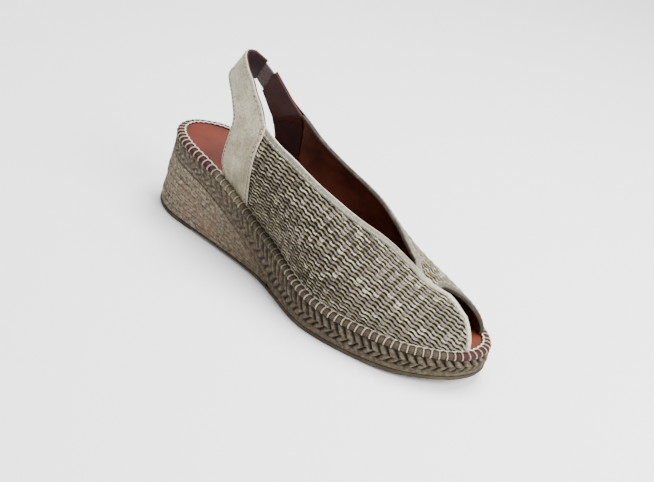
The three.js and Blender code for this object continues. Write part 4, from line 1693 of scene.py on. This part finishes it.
@dataclass(frozen=True)
class Panel:
    """One crossed panel of the upper, named by the side of the foot that it starts from."""

    last: Last
    inner: bool
    peep: float
    edge: Curve
    seam_from_back: float = 80.0
    wall: float = 1.8
    bite: float = .3
    overlap_start: float = .6

    @property
    def start(self) -> float:
        """Way round where the panel starts, at the strap's seam."""
        return self.last.around_at(self.seam_from_back, self.inner)

    @property
    def foot_v(self) -> float:
        """v of the panel's foot line."""
        return 2.0 if self.inner else 0.0

    def sink(self, around: Array, v: Array) -> Array:
        """How far the inner panel lies under the last's surface, where the outer one covers it.

        Args:
            around: Way round the foot line.
            v: Way across.

        Returns:
            The depths.
        """
        if not self.inner:
            return np.zeros(np.broadcast(around, v).shape)
        ahead = smoothstep(around, self.overlap_start, self.overlap_start + .08)
        return ahead * (1 - smoothstep(v, .97, 1.25)) * (self.wall - self.bite)

    def raised(self, around: Array, v: Array, height: Array) -> Array:
        """Points that stand a height over the panel's surface, along its normal and never under the insole.

        Args:
            around: Way round the foot line.
            v: Way across.
            height: Height over the surface in millimetres, less than nothing for inside.

        Returns:
            Points in millimetres.
        """
        around, v = np.broadcast_arrays(np.asarray(around, float), np.asarray(v, float))
        normal, _, _ = self.last.frame_at(around, v)
        away = (np.asarray(height) - self.sink(around, v))[..., None]
        points = self.last.point(around, v) + normal * away
        bed = self.last.bed
        floor = bed.rim_z(points[..., 0]) + bed.gap
        points[..., 2] = np.maximum(points[..., 2], floor)
        return points

    def narrowing(self, around: Array) -> Array:
        """Share of the binding's width that is left along the edge: the outer panel's narrows to the peep."""
        return np.ones(np.shape(around)) if self.inner else 1 - .36 * smoothstep(around, .8, .9)

    def grid(self, rows: int, columns: int, trim: float) -> tuple[Array, Array]:
        """Parameters of a grid over the panel, kept a distance inside its topline and its peep edge.

        Args:
            rows: Spans round the foot line.
            columns: Spans from the foot line to the topline.
            trim: Distance in millimetres.

        Returns:
            Way round and v of each corner.
        """
        length = self.last.foot_lines[self.inner][1][-1]
        end = self.peep - trim * float(self.narrowing(self.peep)) / length
        around = np.linspace(self.start, end, rows + 1)
        top = self.edge(around)
        _, _, by_v = self.last.frame_at(around, top)
        top = top + np.sign(self.foot_v - top) * trim * self.narrowing(around) / np.linalg.norm(by_v, axis=1)
        share = np.linspace(0, 1, columns + 1)
        v = lerp(self.foot_v, top[:, None], share[None, :])
        return np.broadcast_to(around[:, None], v.shape), v

    def inward(self, around: Array, v: Array, way: Array) -> tuple[Array, Array]:
        """Step in (around, v) that goes 1 mm at right angles to an edge, into the panel.

        The step solves the metric of the surface for m, the cross product of the edge's tangent and the
        normal, turned to the panel's inside.

        Args:
            around: Way round of the edge's points.
            v: Way across of them.
            way: Direction in (around, v) to the panel's inside, to choose the side by.

        Returns:
            Steps of around and of v.
        """
        normal, pa, pv = self.last.frame_at(around, v)
        tangent = unit(pa * np.gradient(around)[:, None] + pv * np.gradient(v)[:, None])
        m = np.cross(tangent, normal)
        inside = pa * way[0] + pv * way[1]
        m = m * np.sign(np.einsum("ij,ij->i", m, inside))[:, None]
        aa, av, vv = (np.einsum("ij,ij->i", p, q) for p, q in ((pa, pa), (pa, pv), (pv, pv)))
        ma, mv = np.einsum("ij,ij->i", m, pa), np.einsum("ij,ij->i", m, pv)
        scale = aa * vv - av * av
        return (ma * vv - mv * av) / scale, (mv * aa - ma * av) / scale


@dataclass
class CrossedUpper:
    """Two woven panels that cross over the toes, each lined and bound along its topline and its peep."""

    last: Last
    weave: Weave = field(default_factory=Weave)
    cloth_thickness: float = .9
    fine: int = 6
    rows: int = 56
    columns: int = 26
    binding_width: float = 4.6
    binding_rise: float = .55

    @cached_property
    def panels(self) -> tuple[Panel, Panel]:
        """Outer and inner panel.

        Returns:
            The two panels.
        """
        outer = Curve((.25, .33, .41, .5, .61, .71, .76, .87, .915, .945, .97),
                      (.66, .67, .73, .79, .86, .935, .945, .93, .93, .88, .72))
        inner = Curve((.25, .38, .46, .53, .6, .65, .7, .765, .81, .86, .9, .92, .94),
                      (1.34, 1.33, 1.29, 1.26, 1.245, 1.2, 1.115, .98, .84, .84, 1.08, 1.15, 1.25))
        return Panel(self.last, False, .97, outer), Panel(self.last, True, .94, inner)

    def build(self) -> None:
        """Builds both panels: cloth, lining, bindings and the bindings' stitching."""
        cloth = ClothFinish(weave=self.weave).material()
        lining = LeatherFinish("upper_lining", paint(106, 58, 42), paint(66, 34, 27), roughness=.6).material()
        near = BindingFinish().material()
        # The far binding is a shaded copy: painted shade on its fold and on its inner leg.
        far = BindingFinish("far_binding_shaded", fold_light_and_shade=paint(50, 44, 36), inside=paint(66, 57, 47)).material()
        thread = ThreadFinish("upper_thread", paint(178, 172, 154), paint(112, 104, 88)).material()
        for panel, name, binding in zip(self.panels, ("outer", "inner"), (near, far)):
            self.cloth(panel, f"cloth_{name}", cloth)
            self.lining(panel, f"lining_{name}", lining)
            self.bindings(panel, name, binding, thread)

    def cloth(self, panel: Panel, name: str, material: Material) -> None:
        """Builds a panel's cloth: a fine woven face and a plain coarse back, joined round the border.

        Args:
            panel: The panel.
            name: Name of the piece.
            material: Its finish.
        """
        trim = self.binding_width - 1.2
        around, v = panel.grid(self.rows * self.fine, self.columns * self.fine, trim)
        base = panel.raised(*panel.grid(self.rows // 2, self.columns // 2, trim), 0.0)
        cloth = refined(flattened(base), 2 * self.fine)
        rise = (self.weave.relief(cloth) - .72) * self.weave.depth
        front = panel.raised(around, v, rise)
        coarse_around, coarse_v = around[::self.fine, ::self.fine], v[::self.fine, ::self.fine]
        back = panel.raised(coarse_around, coarse_v, -self.cloth_thickness)
        rows, columns = front.shape[:2]
        index = np.arange(rows * columns).reshape(rows, columns)
        other = rows * columns + np.arange(back.shape[0] * back.shape[1]).reshape(back.shape[:2])
        faces = [grid_faces(rows, columns), grid_faces(*back.shape[:2])[:, ::-1] + rows * columns]
        borders = ((index[0], other[0]), (index[:, -1], other[:, -1]),
                   (index[-1, ::-1], other[-1, ::-1]), (index[::-1, 0], other[::-1, 0]))
        faces += [zipped(a, b) for a, b in borders]
        uv = np.concatenate([cloth.reshape(-1, 2), cloth[::self.fine, ::self.fine].reshape(-1, 2)])
        shell = Shell().add(np.concatenate([front.reshape(-1, 3), back.reshape(-1, 3)]), faces, uv)
        shell.build(name, material, "woven_cloth", "upper")

    def lining(self, panel: Panel, name: str, material: Material) -> None:
        """Builds a panel's lining, a thin sheet against the cloth's back.

        Args:
            panel: The panel.
            name: Name of the piece.
            material: Its finish.
        """
        around, v = panel.grid(90, 44, self.binding_width - 2)
        outer = panel.raised(around, v, -self.cloth_thickness - .05)
        inner = panel.raised(around, v, -panel.wall)
        Shell().add(*thick_patch(outer, inner)).build(name, material, "woven_cloth")

    def bindings(self, panel: Panel, name: str, material: Material, thread: Material) -> None:
        """Folds leather over the panel's topline and its peep edge, each with a row of stitches.

        Args:
            panel: The panel.
            name: Name of the piece.
            material: Its finish.
            thread: Finish of its stitches.
        """
        around = np.linspace(panel.start, panel.peep, 260)
        topline = (around, panel.edge(around), (0.0, panel.foot_v - 1.0), 0.0)
        v = np.linspace(panel.foot_v, float(panel.edge(panel.peep)), 90)
        peep = (np.full_like(v, panel.peep), v, (-1.0, 0.0), .06)
        shell, stitches = Shell(), Shell()
        for a, w, way, extra in (topline, peep):
            self.fold(panel, shell, a, w, way, extra)
            self.stitch(panel, stitches, a, w, way, extra)
        shell.build(f"binding_{name}", material, "woven_cloth")
        stitches.build(f"binding_stitches_{name}", thread, "woven_cloth")

    def fold(self, panel: Panel, shell: Shell, around: Array, v: Array, way: Array, extra: float) -> None:
        """Adds one binding: a rounded section swept along an edge.

        Args:
            panel: The panel.
            shell: Body to add it to.
            around: Way round of the edge's points.
            v: Way across of them.
            way: Direction in (around, v) to the panel's inside.
            extra: Rise over the other binding, where they cross.
        """
        rise, wide, wall = self.binding_rise + extra, self.binding_width, panel.wall
        section = np.array([
            (wide, -.35), (wide, .1), (wide - .15, rise * .7), (wide - .6, rise), (wide * .5, rise * 1.12),
            (1.0, rise), (.5, rise * .8), (.15, rise * .4), (0, -.1), (0, -wall * .6), (.15, -wall * .95),
            (.6, -wall - .25), (wide * .5, -wall - .3), (wide - .6, -wall - .25), (wide, -wall + .1)])
        da, dv = panel.inward(around, v, way)
        d, h = section[:, 0][:, None] * panel.narrowing(around), section[:, 1][:, None]
        points = panel.raised(around + da * d, np.clip(v + dv * d, 0, 2), h + np.zeros_like(around))
        rows, columns = points.shape[:2]
        wall_faces = grid_faces(rows, columns, wrap_rows=True)
        corners = points.reshape(-1, 3)
        ends = np.stack([corners[np.arange(rows) * columns].mean(0),
                         corners[np.arange(rows) * columns + columns - 1].mean(0)])
        k = np.arange(rows)
        here, there = k * columns, (k + 1) % rows * columns
        caps = np.concatenate([np.stack([here, there, np.full(rows, rows * columns)], axis=1)[:, ::-1],
                               np.stack([here, there, np.full(rows, rows * columns + 1)], axis=1)
                               + np.array([columns - 1, columns - 1, 0])])
        run = arc_lengths(points[4])
        side = np.array([0, 0, 0, 0, .05, .12, .28, .4, .5, .55, .65, .8, 1, 1, 1])
        side = np.concatenate([np.repeat(side, columns), [.5, .5]])
        uv = np.concatenate([pairs(run, d), np.zeros((2, 2))])
        shell.add(np.concatenate([corners, ends]), [wall_faces, caps], uv, side=side)

    def stitch(self, panel: Panel, shell: Shell, around: Array, v: Array, way: Array, extra: float) -> None:
        """Adds a row of stitches near a binding's inner border, a short tube for each.

        Args:
            panel: The panel.
            shell: Body to add them to.
            around: Way round of the edge's points.
            v: Way across of them.
            way: Direction in (around, v) to the panel's inside.
            extra: Rise over the other binding.
        """
        da, dv = panel.inward(around, v, way)
        inset = (self.binding_width - 1.0) * panel.narrowing(around)
        height = self.binding_rise + extra + .08
        a, w = around + da * inset, np.clip(v + dv * inset, 0, 2)
        line = panel.raised(a, w, np.full_like(a, height))
        run = arc_lengths(line)
        at, steps = sewn(run, 1.15)
        sa, sw = np.interp(at, run, a), np.interp(at, run, w)
        lift = height - .3 * steps[None, :] ** 4
        paths = panel.raised(sa, sw, lift)
        normals, _, _ = self.last.frame_at(sa, sw)
        shell.add(*tubes(paths, normals, .32, 5))


# Straps


@dataclass
class Strap:
    """One leather strap between a front and a rear edge, in an outer ply and a lining ply."""

    last: Last
    panel: Panel
    table: dict[str, tuple]
    base_width: float = 23.0
    wall: float = 2.2
    crown: float = .6
    lap: float = 3.0

    @property
    def side(self) -> float:
        """-1 on the outer side and 1 on the inner side."""
        return 1.0 if self.panel.inner else -1.0

    def line(self, start: tuple[float, Array], at: tuple, name: str) -> Callable[[Array], Array]:
        """An edge line through a first point and the table's rows.

        Args:
            start: Way along of the first point, and the point.
            at: Way along of the table's rows for this edge.
            name: Prefix of the table's columns.

        Returns:
            A function from the way along to points.
        """
        bed = self.last.bed
        where, point = start
        first = (float(bed.share_of(point[0])), point[1] / self.last.throat_half,
                 (point[2] - float(bed.rim_z(point[0]))) / self.last.quarter_rise)
        curves = [Curve((where, *at), (value, *self.table[name + column]))
                  for value, column in zip(first, ("_at", "_side", "_up"))]

        def read(s: Array) -> Array:
            """Points of the edge.

            Args:
                s: Way up the edge.

            Returns:
                The points.
            """
            share, side, up = (curve(s) for curve in curves)
            x = bed.station(share)
            z = bed.rim_z(x) + self.last.quarter_rise * up
            return np.stack([x, self.last.throat_half * side, z], axis=-1)

        return read

    def edges(self, s: Array, lapped: bool) -> tuple[Array, Array]:
        """Front and rear edge.

        Args:
            s: Way along the strap, rising.
            lapped: True if the front edge lies over the cloth along the seam.

        Returns:
            Points of both edges.
        """
        inner = self.panel.inner
        seam, foot_v = self.panel.start, self.panel.foot_v
        top_v = float(self.panel.edge(seam))
        seam_end = self.table["seam_end"]
        share = np.clip(s / seam_end, 0, 1)
        v = lerp(foot_v, top_v, share)
        on_seam = self.last.point(np.full_like(v, seam), v) + np.array([-.5, 0, 0])
        top = self.last.point(np.array([seam]), np.array([top_v]))[0] + np.array([-.5, 0, 0])
        fore = self.line((seam_end, top), self.table["fore"], "fore")(s)
        front = np.where((s <= seam_end)[:, None], on_seam, fore)
        around = self.last.around_at(self.panel.seam_from_back - self.base_width, inner)
        foot = self.last.foot(np.array(around), inner)
        bed = self.last.bed
        start = np.array([foot[0], foot[1], float(bed.rim_z(foot[0])) + bed.gap])
        rear = self.line((0.0, start), self.table["aft"], "aft")(s)
        if lapped:
            length = self.last.foot_lines[inner][1][-1]
            near = 1 - smoothstep(s, seam_end * .86, seam_end * 1.25)
            ahead = np.full_like(v, seam) + near * self.lap / length
            normal, _, _ = self.last.frame_at(ahead, v)
            over = self.last.point(ahead, v) + normal * 1.3
            front = lerp(front, over, near[:, None])
        return front, rear

    def face(self, rows: int, columns: int, lapped: bool = True) -> Array:
        """Outer face of the strap: straight from edge to edge, with a slight crown.

        Args:
            rows: Spans along.
            columns: Spans across.
            lapped: True if the front edge lies over the cloth.

        Returns:
            Points in millimetres.
        """
        s = np.linspace(0, 1, rows + 1)
        front, rear = self.edges(s, lapped)
        across = np.linspace(0, 1, columns + 1)[None, :, None]
        grid = lerp(front[:, None], rear[:, None], across)
        bow = (4 * across * (1 - across))[..., 0] * np.minimum(1, 3 * s)[:, None]
        grid[..., 1] += self.side * self.crown * bow
        return self.standing(grid)

    def standing(self, grid: Array) -> Array:
        """Puts the first row of a grid on the rim.

        Args:
            grid: Points, rows by columns.

        Returns:
            The same grid.
        """
        bed = self.last.bed
        grid[0, :, 2] = bed.rim_z(grid[0, :, 0]) + bed.gap
        return grid

    def offset(self, grid: Array, depth: Array) -> Array:
        """A grid moved inwards along its normals."""
        away = grid_normals(grid) * -self.side
        return self.standing(grid - away * np.asarray(depth)[..., None])


@dataclass
class LeatherStraps:
    """The heel sling from the outer side and the short strap from the inner side, stitched along their edges."""

    last: Last
    panels: tuple[Panel, Panel]
    rows: int = 160
    columns: int = 40
    ply: float = 1.2
    seam_inset: float = 2.2
    casing_length: float = 21.0
    casing_rise: float = .7

    @cached_property
    def straps(self) -> tuple[Strap, Strap]:
        """The heel sling and the inner strap.

        Returns:
            The two straps.
        """
        aft = (.12, .25, .36, .45, .52, .58, .65, .74, .81, .86, .91, .95, 1)
        sling = {
            "seam_end": .36, "fore": aft[3:], "aft": aft,
            "fore_at": (.296, .269, .249, .226, .197, .172, .161, .166, .179, .197),
            "fore_side": (-.95, -.9, -.82, -.71, -.47, -.2, .08, .34, .48, .6),
            "fore_up": (1.14, 1.215, 1.28, 1.315, 1.335, 1.352, 1.36, 1.348, 1.32, 1.29),
            "aft_at": (.224, .226, .22, .205, .189, .174, .158, .14, .13, .128, .138, .154, .174),
            "aft_side": (-1.32, -1.21, -1.05, -.95, -.84, -.74, -.6, -.4, -.18, .05, .29, .44, .54),
            "aft_up": (.26, .56, .73, .83, .905, .95, .975, .99, .998, .995, .99, .99, .994)}
        short = {
            "seam_end": .6, "fore": (.7, .85, 1), "aft": (.2, .4, .6, .7, .85, 1),
            "fore_at": (.285, .254, .224), "fore_side": (.97, .87, .74), "fore_up": (1.02, 1.11, 1.225),
            "aft_at": (.231, .225, .221, .212, .2, .19), "aft_side": (1.24, 1.13, 1.04, .94, .82, .71),
            "aft_up": (.29, .49, .615, .69, .8, .885)}
        return Strap(self.last, self.panels[0], sling), Strap(self.last, self.panels[1], short)

    def build(self) -> None:
        """Builds both straps in two plies, with a thread row along the front and the rear edge."""
        leather = StrapFinish().material()
        linings = (LeatherFinish("sling_lining", paint(44, 28, 30), paint(32, 20, 22)),
                   LeatherFinish("strap_lining", paint(58, 27, 25), paint(40, 19, 19)))
        thread = ThreadFinish("strap_thread", paint(178, 170, 152), paint(104, 96, 82)).material()
        for strap, node, lining in zip(self.straps, ("heel_sling", "inner_strap"), linings):
            self.plies(strap, node, leather, lining.material())
            self.stitches(strap, node, thread)

    def plies(self, strap: Strap, node: str, leather: Material, lining: Material) -> None:
        """Builds a strap's outer ply and its lining, with a hairline between them.

        Args:
            strap: The strap.
            node: The solid that it stands for.
            leather: Finish of the outer ply.
            lining: Finish of the lining.
        """
        face = strap.face(self.rows, self.columns)
        edge = self.edge_round(self.columns)
        outer = strap.offset(face, np.broadcast_to(edge, face.shape[:2]))
        inner = strap.offset(face, np.full(face.shape[:2], self.ply - .1))
        run = arc_lengths(face[:, -1])
        across = np.linspace(0, 1, self.columns + 1)[None, :]
        width = np.linalg.norm(face[:, 0] - face[:, -1], axis=1)[:, None]
        uv = np.tile(pairs(run[:, None], width * across), (2, 1))
        from_edge = np.minimum(width * across, np.where(across < .5, 9.0, width * (1 - across) + .5)).ravel()
        # The back face's edge mark of -1 lets the strap finish paint a shadow down the edge walls.
        shell = Shell().add(*thick_patch(outer, inner), uv, edge=np.concatenate([from_edge, from_edge * 0 - 1]))
        shell.build(node + "_leather", leather, "strap_leather", node)
        under = strap.face(self.rows, self.columns, False)
        depth = np.full(face.shape[:2], strap.wall)
        if node == "inner_strap":
            start = run[-1] - self.casing_length - 3.0 * (2 * across - 1) ** 2
            depth = depth + self.casing_rise * smoothstep(run[:, None], start - .4, start)
        top = strap.offset(under, np.full(face.shape[:2], self.ply + .05))
        low = strap.offset(under, depth - edge * .6)
        Shell().add(*thick_patch(top, low), uv).build(node + "_lining", lining, "strap_leather")

    def edge_round(self, columns: int) -> Array:
        """Depth by which a ply's face falls towards both long edges: a share of 1 - way^0.25."""
        across = np.linspace(0, 1, columns + 1)
        return .45 * (1 - np.clip(4 * across * (1 - across), 0, 1) ** .18)

    def stitches(self, strap: Strap, node: str, thread: Material) -> None:
        """Sews along the strap's front and rear edge, 2 mm in.

        Args:
            strap: The strap.
            node: The solid that it stands for.
            thread: Finish of the stitches.
        """
        face = strap.offset(strap.face(self.rows * 2, self.columns), 0.0)
        out = grid_normals(face) * -strap.side
        shell = Shell()
        for end, other in ((0, -1), (-1, 0)):
            away = unit(face[:, other] - face[:, end])
            line = face[:, end] + away * self.seam_inset + out[:, 2 if end == 0 else -3] * .12
            line, normal = line[3:-2], out[3:-2, end]
            run = arc_lengths(line)
            at, steps = sewn(run, 1.1)
            paths, lifts = read_line(at, run, line), unit(read_line(at, run, normal))
            shell.add(*tubes(paths - lifts * (.25 * steps ** 4)[None, :, None], lifts, .3, 5))
        shell.build(node + "_stitches", thread, "strap_leather")


@dataclass
class ElasticLink:
    """Ribbed elastic that joins the two strap ends."""

    straps: tuple[Strap, Strap]
    rows: int = 24
    columns: int = 120
    thickness: float = 1.3
    upper_trim: float = .14
    lower_trim: float = .06
    rib: float = 1.1
    reach: float = 3.0

    def build(self) -> None:
        """Builds the web between the ends, with a rounded rib for each cord inside it."""
        ends = [strap.edges(np.array([.9, 1.0]), False) for strap in self.straps]
        (front_a, rear_a), (front_b, rear_b) = [(front[-1], rear[-1]) for front, rear in ends]
        into = unit(front_b + rear_b - front_a - rear_a) * self.reach
        front_a, rear_a, front_b, rear_b = front_a - into, rear_a - into, front_b + into, rear_b + into
        s = np.linspace(0, 1, self.rows + 1)[:, None, None]
        down = lerp(self.upper_trim, 1 - self.lower_trim, np.linspace(0, 1, self.columns + 1))[None, :, None]
        top, bottom = lerp(front_a, front_b, s), lerp(rear_a, rear_b, s)
        grid = lerp(top, bottom, down)
        out = grid_normals(grid)
        out = out * np.sign(out[..., 1].mean())
        width = float(np.linalg.norm(grid[0, 0] - grid[0, -1]))
        across = np.linspace(0, width, self.columns + 1)[None, :]
        ribs = .22 * dome(fract(across / self.rib))[..., None]
        middle = self.straps[0].wall / 2
        outer = grid + out * (-middle + self.thickness / 2 - .15 + ribs)
        inner = grid + out * (-middle - self.thickness / 2 + .15 - ribs)
        run = arc_lengths(grid[:, 0])
        shell = Shell().add(*thick_patch(outer, inner), np.tile(pairs(run[:, None], across), (2, 1)))
        shell.build("elastic_web", ElasticFinish(ribs=self.rib).material(), "elastic_web", "elastic")


# The studio


@dataclass(frozen=True)
class Lamp:
    """A soft square light."""

    name: str
    place: Place
    aim: Place
    size: float
    power: float

    def build(self) -> None:
        """Hangs the light, in metres, and turns it to its aim."""
        data = bpy.data.lights.new(self.name, "AREA")
        data.shape, data.size, data.energy = "SQUARE", self.size, self.power
        lamp = linked(self.name, data)
        lamp.location = self.place
        lamp.rotation_mode = "QUATERNION"
        lamp.rotation_quaternion = (Vector(self.aim) - Vector(self.place)).to_track_quat("-Z", "Y")


@dataclass(frozen=True)
class Studio:
    """Pale floor, soft lights, and a camera at the photo's angle."""

    azimuth: float = 34.144
    elevation: float = 30.104
    roll: float = 13.19
    distance: float = 697.648
    scale: float = 1.61055
    target: Place = (100.0, 0.0, 30.0)
    picture: tuple[float, float] = (654.0, 482.0)
    centre: tuple[float, float] = (319.01, 238.655)
    sensor: float = 36.0

    def build(self) -> None:
        """Builds floor, lights, world and camera."""
        self.floor()
        for lamp in (
                Lamp("overhead", (.1, .3, 1.1), (.1, 0.0, .03), .7, 32.0),
                Lamp("toe_side", (.95, 0.0, .65), (.15, 0.0, .03), .6, 22.0),
                Lamp("front_fill", (.3, -1.1, .55), (.08, 0.0, .03), 1.0, 2.5)):
            lamp.build()
        world = bpy.data.worlds.new("studio_world")
        world.use_nodes = True
        background = world.node_tree.nodes["Background"]
        background.inputs["Color"].default_value = (1, 1, 1, 1)
        background.inputs["Strength"].default_value = .62
        bpy.context.scene.world = world
        self.camera()

    def floor(self) -> None:
        """A pale floor just under the sole."""
        half = 6.0
        corners = [(x, y, -.0001) for x, y in ((-half, -half), (half, -half), (half, half), (-half, half))]
        mesh = bpy.data.meshes.new("studio_floor")
        mesh.from_pydata(corners, [], [(0, 1, 2, 3)])
        sheet = NodeSheet("studio_floor")
        mesh.materials.append(sheet.finish((.9, .9, .9, 1.0), .9))
        floor = linked("studio_floor", mesh)

    def camera(self) -> None:
        """A camera whose axes come from azimuth, elevation and roll, and whose lens from the scale.

        back = (sin A cos E, -cos A cos E, sin E), right = (cos A, sin A, 0) and up = back x right are
        turned by the roll, and the lens is sensor * scale * distance / picture width.
        """
        a, e, r = (math.radians(v) for v in (self.azimuth, self.elevation, self.roll))
        back = Vector((math.sin(a) * math.cos(e), -math.cos(a) * math.cos(e), math.sin(e)))
        right = Vector((math.cos(a), math.sin(a), 0.0))
        up = back.cross(right)
        across = right * math.cos(r) + up * math.sin(r)
        high = up * math.cos(r) - right * math.sin(r)
        data = bpy.data.cameras.new("photo_camera")
        data.sensor_width = self.sensor
        data.lens = self.sensor * self.scale * self.distance / self.picture[0]
        data.shift_x = (self.picture[0] / 2 - self.centre[0]) / self.picture[0]
        data.shift_y = (self.centre[1] - self.picture[1] / 2) / self.picture[0]
        data.clip_start, data.clip_end = .01, 50.0
        camera = linked("photo_camera", data)
        place = Vector(self.target) + back * self.distance
        turn = Matrix((across, high, back)).transposed().to_4x4()
        camera.matrix_world = Matrix.Translation(place * MM) @ turn
        bpy.context.scene.camera = camera


def main() -> None:
    """Builds the shoe piece by piece, then the studio, and writes the two boxes."""
    logging.basicConfig(level=logging.INFO, format="%(message)s")
    bed, last = Footbed(), Last()
    Outsole(bed).build()
    jute = JuteFinish("jute").material()
    RopeWedge(bed).build(jute)
    BraidPlatform(bed).build(jute)
    StitchedRim(bed).build()
    Insole(bed).build()
    upper = CrossedUpper(last)
    upper.build()
    straps = LeatherStraps(last, upper.panels)
    straps.build()
    ElasticLink(straps.straps).build()
    Studio().build()


if __name__ == "__main__":
    main()
